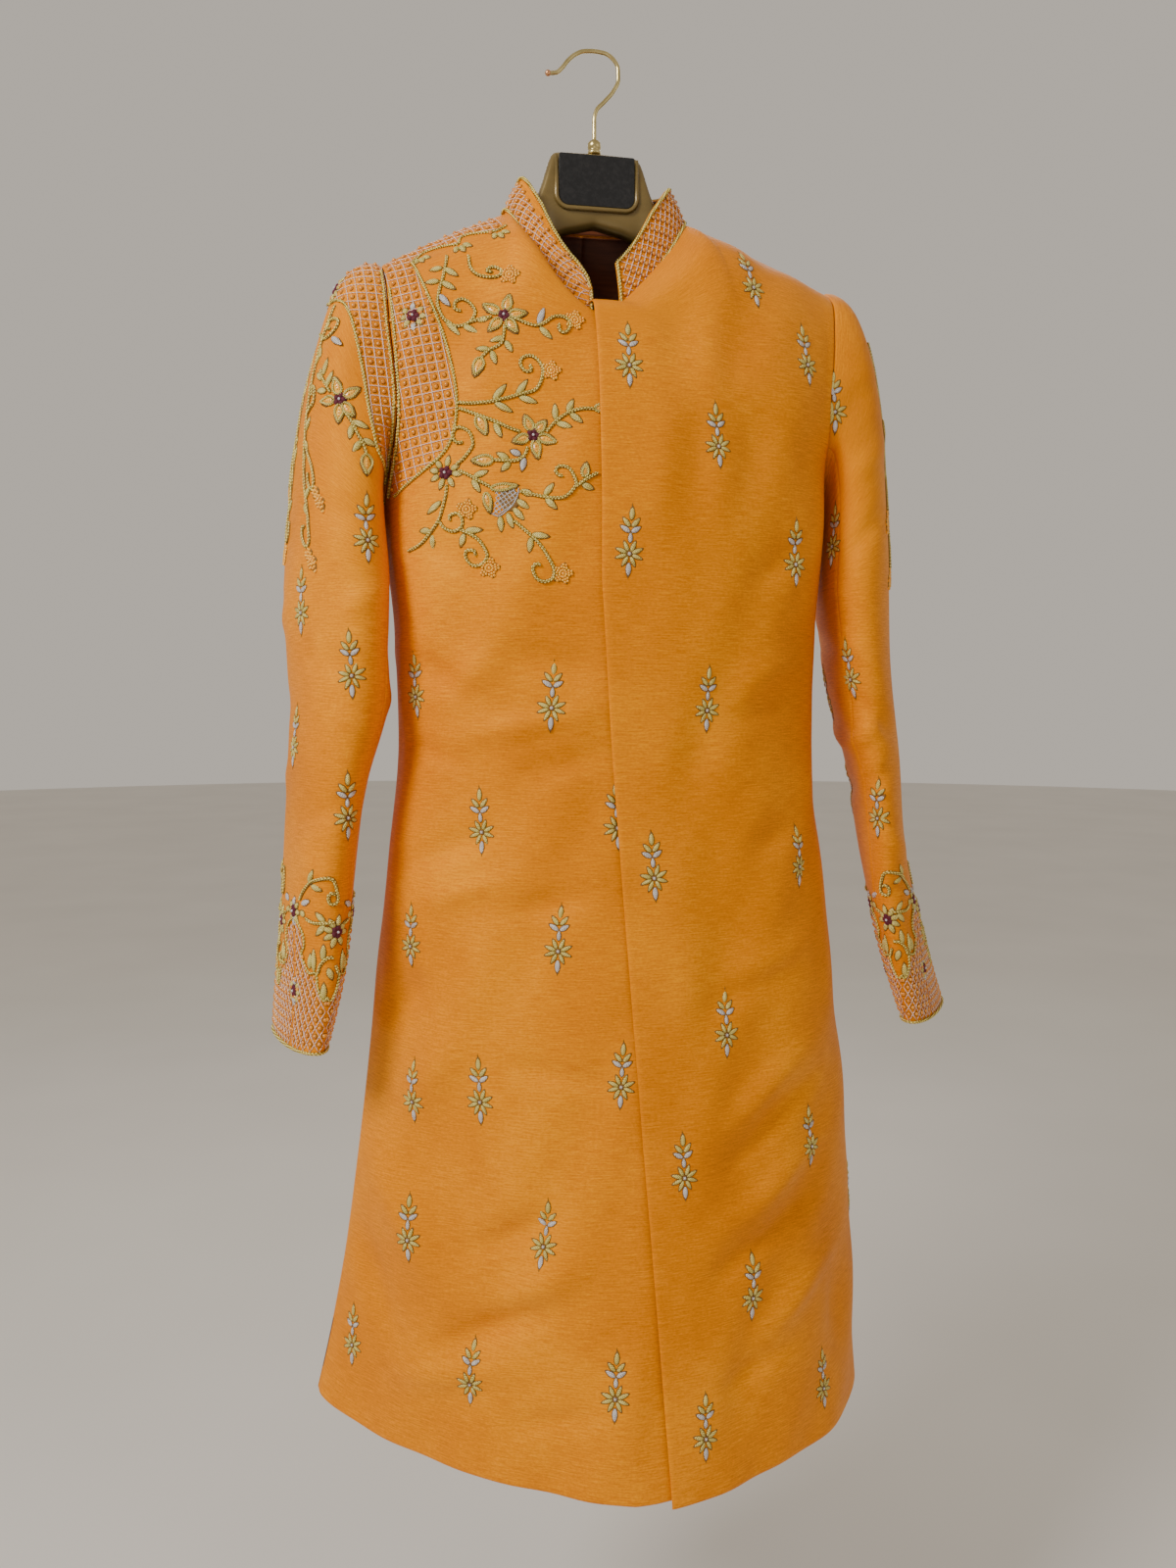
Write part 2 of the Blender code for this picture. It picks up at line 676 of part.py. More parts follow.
def wire_hook(material):
    """The brass wire hook as one bent tube."""
    points = np.array([(x, 0.0, z) for x, z in HOOK_CURVE])
    points[0, 2] = FERRULE_TOP + SEAM_GAP
    lengths = np.concatenate([[0], np.cumsum(np.linalg.norm(np.diff(points, axis=0), axis=1))])
    line = through(points, lengths, np.linspace(0, lengths[-1], 46))
    along = np.gradient(line, axis=0)
    along /= np.linalg.norm(along, axis=1, keepdims=True)
    aside = np.cross((0.0, 1.0, 0.0), along)
    count = 10
    turn = np.linspace(0, 2 * np.pi, count, endpoint=False)
    ring = aside[:, None] * np.cos(turn)[None, :, None]
    ring = ring + np.array([0.0, 1.0, 0.0]) * np.sin(turn)[None, :, None]
    rings = line[:, None] + WIRE_RADIUS * ring
    faces = ring_faces(len(line), count)
    return mesh_object("hanger_hook", rings.reshape(-1, 3), faces, material)


def main():
    clear_scene()
    cloth = make_material("orange_silk", CLOTH_ORANGE, 0.55)
    lattice = make_material("collar_lattice", (0.80, 0.52, 0.30), 0.6)
    lining = make_material("maroon_lining", LINING_MAROON, 0.45)
    bronze = make_material("bronze_plastic", (0.28, 0.19, 0.09), 0.35)
    black = make_material("black_plate", (0.01, 0.01, 0.012), 0.4)
    brass = make_material("brass_wire", (0.72, 0.52, 0.18), 0.3, 1.0)

    front_panel("front_left", "left", cloth)
    front_panel("front_right", "right", cloth)
    back_panel("back_left", 1, cloth)
    back_panel("back_right", -1, cloth)
    back_lining(lining)
    collar(lattice)
    for name in SLEEVE_SIDE:
        sleeve_piece(name, "upper", cloth)
        sleeve_piece(name, "under", cloth)
    hanger_body(bronze)
    label_plate(black)
    ferrule(brass)
    wire_hook(brass)


main()
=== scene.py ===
"""Looks of the orange silk sherwani on its hanger: hung cloth, embroidery, hanger and studio.

Metres, +Z up, the front faces -Y and the wearer's left is +X, as in the solids. The cloth
shells run through the same body and sleeve sections as the solids, and carry the creases.
Every stitched motif is laid on the shell under it, so it bends with the cloth.
"""

import math

import bpy
import numpy as np
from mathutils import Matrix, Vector
from mathutils.bvhtree import BVHTree


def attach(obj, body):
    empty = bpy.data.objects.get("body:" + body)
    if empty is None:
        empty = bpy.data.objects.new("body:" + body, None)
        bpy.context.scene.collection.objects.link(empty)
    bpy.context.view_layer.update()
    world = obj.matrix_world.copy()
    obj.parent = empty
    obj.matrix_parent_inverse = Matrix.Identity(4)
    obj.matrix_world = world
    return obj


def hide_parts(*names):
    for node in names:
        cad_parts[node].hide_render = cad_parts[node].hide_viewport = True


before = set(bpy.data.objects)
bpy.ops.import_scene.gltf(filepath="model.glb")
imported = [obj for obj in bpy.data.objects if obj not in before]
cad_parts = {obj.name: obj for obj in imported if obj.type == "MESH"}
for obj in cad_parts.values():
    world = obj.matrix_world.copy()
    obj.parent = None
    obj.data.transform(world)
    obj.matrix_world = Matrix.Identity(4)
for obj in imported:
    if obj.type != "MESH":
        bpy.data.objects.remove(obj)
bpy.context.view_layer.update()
bpy.ops.object.select_all(action="DESELECT")

# Walls of the shells
SILK_WALL = 0.0014
COLLAR_WALL = 0.0030
LINING_WALL = 0.0008
LINING_GAP = 0.0003

# Driving dimensions of the coat, as in the solids
SHOULDER_WIDTH = 0.431
SHOULDER_SHIFT = 0.0155
SHOULDER_HEIGHT = -0.2045
SHOULDER_DEPTH = 0.004
NECK_HALF_WIDTH = 0.086
NECK_SIDE_HEIGHT = -0.1515
NECK_FRONT_DEPTH = 0.076
NECK_FRONT_HEIGHT = -0.264
NECK_FRONT_SHIFT = -0.012
NECK_LINE_POWER = 1.7
NECK_BACK_DEPTH = 0.066
NECK_BACK_HEIGHT = -0.1425
ARMPIT_HEIGHT = -0.440
EDGE_TOP_X = -0.019
EDGE_CHEST_HEIGHT = -0.50
EDGE_HEM_X = 0.034
HEM_HEIGHT = -1.312
UNDERLAP = 0.045
OVERLAP_LIFT = 0.005
OVERLAP_FADE = 0.05
LEFT_HEM_EXTRA = 0.006
BODY_COLUMNS = (
    "height centre_x half_width front_depth back_depth right_power left_power back_power reach"
).split()
BODY_SECTIONS = [
    (HEM_HEIGHT, 0.002, 0.277, 0.182, 0.132, 1.30, 1.80, 2.00, 90),
    (-1.170, 0.009, 0.261, 0.168, 0.124, 1.45, 1.85, 2.05, 90),
    (-1.010, 0.014, 0.243, 0.154, 0.115, 1.60, 1.95, 2.10, 90),
    (-0.870, 0.015, 0.228, 0.142, 0.108, 1.80, 2.05, 2.15, 90),
    (-0.750, 0.0145, 0.2145, 0.132, 0.100, 2.00, 2.15, 2.20, 90),
    (-0.640, 0.0135, 0.203, 0.126, 0.096, 2.10, 2.20, 2.25, 90),
    (-0.540, 0.0125, 0.2045, 0.129, 0.100, 2.20, 2.25, 2.30, 90),
    (ARMPIT_HEIGHT, 0.0125, 0.213, 0.129, 0.108, 2.30, 2.30, 2.35, 90),
    (-0.340, 0.013, 0.226, 0.118, 0.112, 2.35, 2.35, 2.45, 61.5),
    (-0.275, 0.0135, 0.232, 0.099, 0.100, 2.40, 2.40, 2.50, 61.5),
]
YOKE_SHARE = 0.52
YOKE_BULGE = 0.16
NECK_SHARE = 0.38
HEM_SIDE_RISE = (0.036, 0.008)
COLLAR_HEIGHTS = (0.042, 0.046, 0.031, 0.034)
COLLAR_RIGHT_END = -0.0175
COLLAR_LEFT_END = 0.010
COLLAR_LEANS = (10, 27, 12)
COLLAR_CORNER = 0.020
SLEEVE_COLUMNS = "height centre_x centre_y half_across half_along turn".split()
SLEEVE_SECTIONS = {
    "right": [
        (-0.500, -0.2465, -0.004, 0.041, 0.080, 22),
        (-0.590, -0.2450, -0.008, 0.042, 0.078, 18),
        (-0.680, -0.2565, -0.012, 0.034, 0.074, 13),
        (-0.770, -0.2670, -0.017, 0.029, 0.070, 15),
        (-0.850, -0.2740, -0.022, 0.025, 0.066, 17),
        (-0.920, -0.2855, -0.026, 0.018, 0.061, 18),
    ],
    "left": [
        (-0.500, 0.2655, 0.004, 0.036, 0.080, 14),
        (-0.590, 0.2755, 0.002, 0.032, 0.078, 16),
        (-0.680, 0.2925, 0.000, 0.026, 0.074, 18),
        (-0.770, 0.3055, -0.002, 0.023, 0.070, 22),
        (-0.850, 0.3240, -0.004, 0.023, 0.066, 28),
        (-0.930, 0.3505, -0.006, 0.016, 0.061, 38),
    ],
}
SLEEVE_SIDE = {"right": -1, "left": 1}
CAP_SWELL = {"right": 0.195, "left": 0.165, "underarm": 0.022}
CAP_RISE = 0.30
CAP_DROP = {"top": 0.30, "underarm": 0.035}
UNDER_SLEEVE_SPAN = 52
ARMHOLE_GAP = 0.0004
LINING_BOTTOM = -0.330
LINING_HALF_WIDTH = 0.108

# How finely the shells are cut, and the extra rows that round their edges
CLOTH_STEP = 0.0050
EDGE_STEPS = np.array([0.0008, 0.0022, 0.0045])
PANEL_WIDTH = 0.30
EDGE_ROUND = 0.0008
FACING_WIDTH = 0.030
SLEEVE_FACING_ROWS = 5
COLLAR_LINING_RISE = 0.024
SEAM_FADE = 0.022
BACK_HALF_WIDTH = 0.24
SLEEVE_DEGREE_STEP = 3.6
CAP_LENGTH = 0.20
CAP_STEP = 0.026
COLLAR_ROWS = 13

# Creases in millimetres: from x and height, to x and height, width and depth. A trough has a negative
# depth and a ridge a positive one.
BODY_CREASE_STRENGTH = 2.1
SLEEVE_CREASE_STRENGTH = 1.6
CREASES = {
    "front_right": [
        (-10, -585, -115, -560, 16, -3.4), (-12, -612, -150, -640, 11, 2.6),
        (-8, -650, -90, -672, 13, -2.8), (-185, -560, -120, -610, 12, -3),
        (-165, -615, -105, -560, 15, 2.8), (-190, -640, -135, -665, 9, -2),
        (-190, -760, -110, -715, 13, -3), (-175, -790, -95, -760, 10, 2.2),
        (-20, -775, -115, -795, 12, -2.6), (-205, -905, -175, -850, 15, -4.2),
        (-190, -985, -140, -900, 18, 3.4), (-20, -945, -105, -925, 10, -2.4),
        (-55, -1055, -150, -1110, 13, -3.2), (-30, -1095, -130, -1150, 16, 3.6),
        (-60, -1140, -175, -1195, 12, -3.6), (-90, -1195, -205, -1230, 14, 3),
        (-215, -1020, -165, -1150, 20, 4.5), (-235, -1090, -205, -1200, 14, -3),
        (-30, -1235, -110, -1255, 10, -2), (-130, -300, -85, -420, 16, 1.6),
        (-175, -455, -120, -500, 13, -2.2),
    ],
    "front_left": [
        (80, -230, 90, -460, 20, 2.2), (135, -300, 120, -440, 22, -1.8),
        (190, -455, 120, -500, 12, -2.2), (195, -560, 110, -590, 14, 2.2),
        (200, -590, 100, -625, 12, -2.6), (35, -655, 98, -648, 2.2, -0.9),
        (42, -664, 88, -660, 1.8, -0.7), (16, -618, 62, -612, 2.2, -0.6),
        (100, -690, 150, -678, 2.6, -0.7), (5, -318, 34, -312, 2, -0.5),
        (110, -292, 140, -296, 2.2, -0.5), (205, -700, 120, -745, 14, -2.6),
        (200, -820, 120, -860, 16, 2.4), (65, -885, 175, -850, 12, -2),
        (90, -1030, 205, -955, 12, -3.6), (80, -1000, 190, -925, 14, 3),
        (70, -1090, 215, -1015, 15, 3.4), (60, -1130, 200, -1070, 12, -3),
        (120, -1190, 225, -1130, 14, 2.8), (75, -1225, 165, -1205, 10, -1.8),
        (225, -1150, 240, -1270, 16, -3.2),
    ],
    "back_right": [
        (-10, -215, -130, -255, 12, -2), (-15, -300, -60, -480, 20, 2.2),
        (-185, -460, -80, -530, 14, -2.8), (-190, -560, -60, -590, 12, 3),
        (-185, -610, -40, -640, 14, -3.6), (-10, -680, -120, -700, 12, 2.4),
        (-200, -770, -100, -730, 14, -2.6), (-60, -800, -95, -1080, 22, 5),
        (-130, -850, -160, -1160, 20, -4.6), (-20, -960, -30, -1250, 18, -3.8),
        (-200, -1020, -215, -1230, 16, 3.4), (-75, -1120, -100, -1290, 14, -3),
    ],
    "back_left": [
        (15, -225, 150, -262, 13, -2.2), (60, -300, 85, -450, 18, -2),
        (200, -470, 110, -520, 12, 2.4), (205, -545, 70, -600, 15, -3.2),
        (20, -600, 130, -640, 12, 2.8), (195, -660, 60, -680, 12, -2.8),
        (30, -745, 120, -775, 14, 2.2), (55, -830, 85, -1130, 20, -4.6),
        (110, -800, 150, -1050, 24, 4.8), (180, -900, 215, -1180, 18, -3.6),
        (20, -1000, 30, -1280, 18, 4), (120, -1130, 150, -1290, 14, 2.8),
    ],
}
# Sleeve creases have degrees in place of x, round the sleeve from the underarm by the front
SLEEVE_CREASES = {
    "right": [
        (70, -420, 150, -375, 10, 1.8), (60, -455, 165, -430, 12, -2.6),
        (55, -500, 130, -530, 11, 2), (60, -590, 170, -560, 12, -2.2),
        (50, -640, 120, -615, 10, 2.2), (65, -690, 185, -720, 12, -2.2),
        (80, -770, 150, -745, 10, 1.8), (200, -420, 290, -470, 12, -2.8),
        (190, -520, 300, -560, 12, 2.6), (200, -610, 310, -600, 14, -3.6),
        (195, -680, 300, -650, 11, 2.6), (210, -770, 300, -800, 12, -2.2),
        (-40, -520, 40, -560, 11, -2.4), (-35, -620, 45, -600, 11, 2.2),
        (-40, -720, 30, -700, 10, -2.2),
    ],
    "left": [
        (75, -330, 155, -300, 10, -1.6), (65, -400, 160, -350, 11, 2),
        (60, -470, 140, -420, 11, -2.4), (50, -545, 120, -580, 10, 2),
        (40, -600, 150, -640, 12, -3.8), (35, -650, 110, -625, 10, 3.6),
        (45, -690, 140, -668, 9, -3.2), (60, -735, 160, -755, 11, 2),
        (70, -800, 150, -780, 10, -1.8), (200, -400, 300, -440, 12, -2.8),
        (205, -520, 300, -500, 12, 2.6), (200, -610, 310, -640, 13, -3.8),
        (195, -670, 300, -690, 10, 2.8), (210, -780, 300, -760, 12, -2.2),
        (-40, -540, 40, -560, 11, -2.4), (-35, -630, 45, -655, 10, 3),
        (-40, -700, 30, -690, 9, -2.6),
    ],
}
SLEEVE_METRES_PER_DEGREE = 0.0011
# Slow waves that keep a panel from lying dead flat: height, wavelengths across and down, start
DRAPE_WAVES = [
    (0.0014, 0.150, 0.420, 0.4),
    (0.0010, -0.090, 0.230, 2.1),
    (0.0006, 0.060, -0.130, 4.0),
]


# Surfaces of the garment


def smooth_step(share):
    share = np.clip(share, 0.0, 1.0)
    return share * share * (3 - 2 * share)


def through(points, knots, at):
    """Smooth curves through rows of points that never swing past them, read at positions."""
    points, knots, at = np.asarray(points, float), np.asarray(knots, float), np.asarray(at, float)
    steps = np.diff(knots).reshape(-1, *([1] * (points.ndim - 1)))
    rises = np.diff(points, axis=0) / steps
    before, after = rises[:-1], rises[1:]
    near, far = 2 * steps[1:] + steps[:-1], steps[1:] + 2 * steps[:-1]
    turning = before * after <= 1e-12
    before, after = np.where(turning, 1.0, before), np.where(turning, 1.0, after)
    slopes = np.empty_like(points)
    slopes[1:-1] = np.where(turning, 0.0, (near + far) / (near / before + far / after))
    slopes[0] = 1.5 * rises[0] - 0.5 * slopes[1]
    slopes[-1] = 1.5 * rises[-1] - 0.5 * slopes[-2]
    left = np.clip(np.searchsorted(knots, at, side="right") - 1, 0, len(knots) - 2)
    width = (knots[left + 1] - knots[left]).reshape(-1, *([1] * (points.ndim - 1)))
    share = (at - knots[left]).reshape(width.shape) / width
    square, cube = share**2, share**3
    return (
        (2 * cube - 3 * square + 1) * points[left]
        + (cube - 2 * square + share) * width * slopes[left]
        + (3 * square - 2 * cube) * points[left + 1]
        + (cube - square) * width * slopes[left + 1]
    )


def section_point(section, which, share):
    """A point on one body section. share runs from -1 at the right edge to 1 at the left."""
    angle = np.radians(section["reach"]) * share
    power = 2 / section["back_power"]
    if which == "front":
        power = 2 / np.where(share < 0, section["right_power"], section["left_power"])
    across = np.sign(angle) * np.abs(np.sin(angle)) ** power
    out = np.abs(np.cos(angle)) ** power
    facing = -1 if which == "front" else 1
    x = section["centre_x"] + section["half_width"] * across
    y = facing * section[which + "_depth"] * out
    return np.stack([x, y, np.full_like(x, section["height"])], axis=-1)


def edge_x(height):
    """Where the left front's edge lies across the chest at this height."""
    down = (EDGE_CHEST_HEIGHT - height) / (EDGE_CHEST_HEIGHT - HEM_HEIGHT)
    return EDGE_TOP_X + (EDGE_HEM_X - EDGE_TOP_X) * np.maximum(down, 0.0)


def neck_ring(degrees):
    """A point of the neck seam. 0 is the centre front, 90 the left side, 180 the back."""
    turn = np.radians(degrees)
    share = np.abs((np.asarray(degrees, float) + 180) % 360 - 180) / 90
    depth = np.where(np.cos(turn) > 0, NECK_FRONT_DEPTH, NECK_BACK_DEPTH)
    x = NECK_HALF_WIDTH * np.sin(turn) + NECK_FRONT_SHIFT * np.maximum(np.cos(turn), 0) ** 2
    climb = np.abs(np.sin(turn)) ** NECK_LINE_POWER
    front = NECK_FRONT_HEIGHT + (NECK_SIDE_HEIGHT - NECK_FRONT_HEIGHT) * climb
    behind = smooth_step(share - 1)
    back = NECK_SIDE_HEIGHT + (NECK_BACK_HEIGHT - NECK_SIDE_HEIGHT) * behind
    height = np.where(share < 1, front, back)
    return np.stack([x, -depth * np.cos(turn), height], axis=-1)


def shoulder_seam(side, share):
    """A point of the shoulder seam, from the neck at 0 to the armhole at 1."""
    neck = neck_ring(90.0 * side)
    tip = np.array(
        [SHOULDER_SHIFT + side * SHOULDER_WIDTH / 2, SHOULDER_DEPTH, SHOULDER_HEIGHT]
    )
    share = np.asarray(share, float)[..., None]
    point = neck + (tip - neck) * share
    point[..., 2] += 0.002 * np.sin(np.pi * share[..., 0])
    return point


def neck_angle_of_x(x):
    """The angle of the front neck seam's point at this x."""
    degrees = np.linspace(-90, 90, 181)
    return float(np.interp(x, neck_ring(degrees)[:, 0], degrees))


def front_top(shares, panel):
    """The front's upper edge: the neckline, and past it the shoulder seam."""
    points = []
    end = COLLAR_LEFT_END if panel == "left" else COLLAR_RIGHT_END
    for value in shares:
        side = 1 if value > 0 else -1
        if abs(value) >= NECK_SHARE:
            points.append(shoulder_seam(side, (abs(value) - NECK_SHARE) / (1 - NECK_SHARE)))
            continue
        x = neck_ring(90 * value / NECK_SHARE)[0]
        past_the_end = x < end if panel == "left" else x > end
        point = neck_ring(neck_angle_of_x(end if past_the_end else x))
        point[0] = x
        point[1] = neck_ring(neck_angle_of_x(x))[1]
        points.append(point)
    return np.array(points)


def back_top(shares):
    """The back's upper edge: the back neckline, and past it the shoulder seam."""
    points = []
    for value in shares:
        side = 1 if value > 0 else -1
        if abs(value) >= NECK_SHARE:
            points.append(shoulder_seam(side, (abs(value) - NECK_SHARE) / (1 - NECK_SHARE)))
        else:
            points.append(neck_ring(180.0 - 90.0 * value / NECK_SHARE))
    return np.array(points)


def body_rows(which, shares, panel=""):
    """Control rows of a body surface, hem first, for columns at these shares."""
    sections = [dict(zip(BODY_COLUMNS, row)) for row in BODY_SECTIONS]
    rows = [section_point(section, which, shares) for section in sections]
    rise = (HEM_SIDE_RISE[1] + HEM_SIDE_RISE[0]) / 2
    lean = (HEM_SIDE_RISE[1] - HEM_SIDE_RISE[0]) / 2
    sided = rise + lean * np.sin(np.pi / 2 * shares)
    rows[0][:, 2] += sided * (np.abs(shares) ** 1.5 if which == "front" else 1)
    if panel == "left":
        rows[0][:, 2] -= LEFT_HEM_EXTRA * (1 - np.abs(shares)) ** 0.5
    top = front_top(shares, panel) if which == "front" else back_top(shares)
    climb = top - rows[-1]
    yoke = rows[-1] + YOKE_SHARE * climb
    reach = np.linalg.norm(climb, axis=1)
    facing = -1 if which == "front" else 1
    yoke[:, 1] += facing * YOKE_BULGE * reach
    yoke[:, 2] += 0.5 * YOKE_BULGE * reach
    return np.array(rows + [yoke, top])


def row_knots():
    heights = [row[0] for row in BODY_SECTIONS]
    climbed = [height - heights[0] for height in heights]
    return np.array([*climbed, climbed[-1] + 0.045, climbed[-1] + 0.09])


def height_at(position):
    heights = [row[0] for row in BODY_SECTIONS]
    return np.interp(position, row_knots()[: len(heights)], heights)


def spaced(start, end, step, scale=1.0, fine_start=True, fine_end=True):
    """Positions about a step apart, with closer ones beside a fine end."""
    even = np.linspace(start, end, max(2, round((end - start) / step)) + 1)
    low = start + EDGE_STEPS * scale if fine_start else np.array([])
    high = end - EDGE_STEPS[::-1] * scale if fine_end else np.array([])
    clear = 1.6 * EDGE_STEPS[-1] * scale
    keep = (even > start + (clear if fine_start else 0)) & (even < end - (clear if fine_end else 0))
    return np.concatenate([[start], low, even[keep], high, [end]])


def read_rows(table, shares, wanted):
    """Points of a fine table of rows, read at each row's own shares."""
    rows = []
    for line, at in zip(table, wanted):
        rows.append(np.stack([np.interp(at, shares, line[:, k]) for k in range(3)], axis=-1))
    return np.array(rows)


def crease_offset(creases, across, height, strength):
    """How far the creases in a table push the cloth out at these places."""
    total = np.zeros_like(across)
    for crease in 0.001 * np.array(creases):
        from_across, from_height, to_across, to_height, width, depth = crease
        along = np.array([to_across - from_across, to_height - from_height])
        length = np.linalg.norm(along)
        along /= length
        walked = (across - from_across) * along[0] + (height - from_height) * along[1]
        aside = (across - from_across) * along[1] - (height - from_height) * along[0]
        taper = np.sin(np.pi * np.clip(0.5 + (walked / length - 0.5) * 0.8, 0, 1)) ** 1.5
        total += strength * depth * taper * np.exp(-((aside / width) ** 2))
    return total


def drape_offset(across, height, phase):
    total = np.zeros_like(across)
    for amplitude, wave_x, wave_z, start in DRAPE_WAVES:
        total += amplitude * np.sin(2 * np.pi * (across / wave_x + height / wave_z) + start + phase)
    return total


def unit(vectors):
    return vectors / np.linalg.norm(vectors, axis=-1, keepdims=True)


def seam_normals(grid, positions, side_column, shoulder):
    """A body panel's normals. At its seams they lie in the plane of the seam."""
    normal = np.cross(np.gradient(grid, axis=1), np.gradient(grid, axis=0))
    normal[height_at(positions) <= ARMPIT_HEIGHT + 0.001, side_column, 1] = 0
    normal[-1, shoulder, 1] = 0
    return unit(normal)


def rounded_edge(distance):
    return -EDGE_ROUND * np.exp(-((distance / 0.0012) ** 2))


def front_cloth(panel):
    """One front's outer surface with its creases, from the wearer's right to the left."""
    side = 1 if panel == "left" else -1
    positions = spaced(0, row_knots()[-1], CLOTH_STEP)
    dense = np.linspace(-1, 1, 601)
    table = through(body_rows("front", dense, panel), row_knots(), positions)
    inner = spaced(0, 1, CLOTH_STEP / 0.12, 1 / 0.12, fine_end=False)
    outer = spaced(NECK_SHARE, 1, CLOTH_STEP / PANEL_WIDTH, 1 / PANEL_WIDTH, fine_start=False)[1:]
    wanted = []
    for position, line in zip(positions, table):
        start_x = edge_x(height_at(position)) + (0 if side > 0 else UNDERLAP)
        middle = np.abs(dense) < 0.6
        start = np.interp(start_x, line[middle, 0], dense[middle])
        share = np.concatenate([start + (side * NECK_SHARE - start) * inner, side * outer])
        wanted.append(share[::side])
    shares = np.array(wanted)
    grid = read_rows(table, dense, shares)
    side_column = -1 if side > 0 else 0
    edge_column = 0 if side > 0 else -1
    shoulder = np.abs(shares[-1]) > NECK_SHARE - 0.001
    normal = seam_normals(grid, positions, side_column, shoulder)
    x, z = grid[..., 0], grid[..., 2]
    to_side = (1 - np.abs(shares)) * PANEL_WIDTH
    to_top = np.broadcast_to((positions[-1] - positions)[:, None], x.shape)
    fade = smooth_step(to_side / SEAM_FADE) * smooth_step(to_top / SEAM_FADE)
    push = crease_offset(CREASES["front_" + panel], x, z, BODY_CREASE_STRENGTH)
    push += drape_offset(x, z, 0.0 if side > 0 else 1.3)
    from_edge = np.abs(x - x[:, [edge_column]])
    lap = smooth_step((from_edge - UNDERLAP * 0.6) / OVERLAP_FADE)
    push *= 0.25 + 0.75 * lap
    push *= fade
    if panel == "left":
        past = (x - edge_x(height_at(positions))[:, None] - UNDERLAP) / OVERLAP_FADE
        push += OVERLAP_LIFT * (1 - smooth_step(past))
    push += rounded_edge(to_side) + rounded_edge(to_top) + rounded_edge(from_edge)
    push += rounded_edge(np.broadcast_to(positions[:, None], x.shape))
    grid = grid + normal * push[..., None]
    return grid, seam_normals(grid, positions, side_column, shoulder), positions


def back_cloth(panel):
    """One half of the back with its creases, from the wearer's left to the right."""
    side = 1 if panel == "left" else -1
    positions = spaced(0, row_knots()[-1], CLOTH_STEP)
    dense = np.linspace(-1, 1, 601)
    table = through(body_rows("back", dense), row_knots(), positions)
    step, scale = CLOTH_STEP / BACK_HALF_WIDTH, 1 / BACK_HALF_WIDTH
    inner = spaced(0, NECK_SHARE, step, scale, fine_end=False)
    outer = spaced(NECK_SHARE, 1, step, scale, fine_start=False)[1:]
    share = side * np.concatenate([inner, outer])
    if side > 0:
        share = share[::-1]
    shares = np.broadcast_to(share, (len(positions), len(share)))
    grid = read_rows(table, dense, shares)
    side_column = 0 if side > 0 else -1
    shoulder = np.abs(share) > NECK_SHARE - 0.001
    normal = seam_normals(grid, positions, side_column, shoulder)
    x, z = grid[..., 0], grid[..., 2]
    to_side = (1 - np.abs(shares)) * PANEL_WIDTH
    to_centre = np.abs(shares) * PANEL_WIDTH
    to_top = np.broadcast_to((positions[-1] - positions)[:, None], x.shape)
    fade = smooth_step(to_side / SEAM_FADE) * smooth_step(to_top / SEAM_FADE)
    fade = fade * smooth_step(to_centre / SEAM_FADE)
    push = crease_offset(CREASES["back_" + panel], x, z, BODY_CREASE_STRENGTH)
    push += drape_offset(x, z, 2.0 if side > 0 else 3.7)
    push *= fade
    push += rounded_edge(to_side) + rounded_edge(to_top) + rounded_edge(to_centre)
    push += rounded_edge(np.broadcast_to(positions[:, None], x.shape))
    grid = grid + normal * push[..., None]
    normal = seam_normals(grid, positions, side_column, shoulder)
    normal[:, -1 if side > 0 else 0, 0] = 0
    return grid, unit(normal), positions


def body_point(which, share, position, panel):
    row = body_rows(which, np.array([share]), panel)
    return through(row, row_knots(), [position])[0, 0]


def armhole_ring(side, degrees):
    """The armhole seam. 0 is the underarm, 90 the front, 180 the shoulder, 270 the back."""
    knots = row_knots()
    armpit = ARMPIT_HEIGHT - HEM_HEIGHT
    points = []
    for value in degrees:
        turn = value % 360
        which = "front" if turn <= 180 else "back"
        climb = turn / 180 if turn <= 180 else (360 - turn) / 180
        position = armpit + (knots[-1] - armpit) * climb
        panel = {1: "left", -1: "right"}[side] if which == "front" else ""
        points.append(body_point(which, float(side), position, panel))
    return np.array(points)


def sleeve_ring(section, side, degrees):
    """A flattened ring of the sleeve, starting at the underarm and going round by the front."""
    turn = np.radians(degrees)
    across = -section["half_across"] * np.cos(turn) * side
    along = -section["half_along"] * np.sin(turn)
    tilt = math.radians(section["turn"]) * side
    x = section["centre_x"] + across * math.cos(tilt) + along * math.sin(tilt)
    y = section["centre_y"] - across * math.sin(tilt) + along * math.cos(tilt)
    return np.stack([x, y, np.full_like(x, section["height"])], axis=-1)


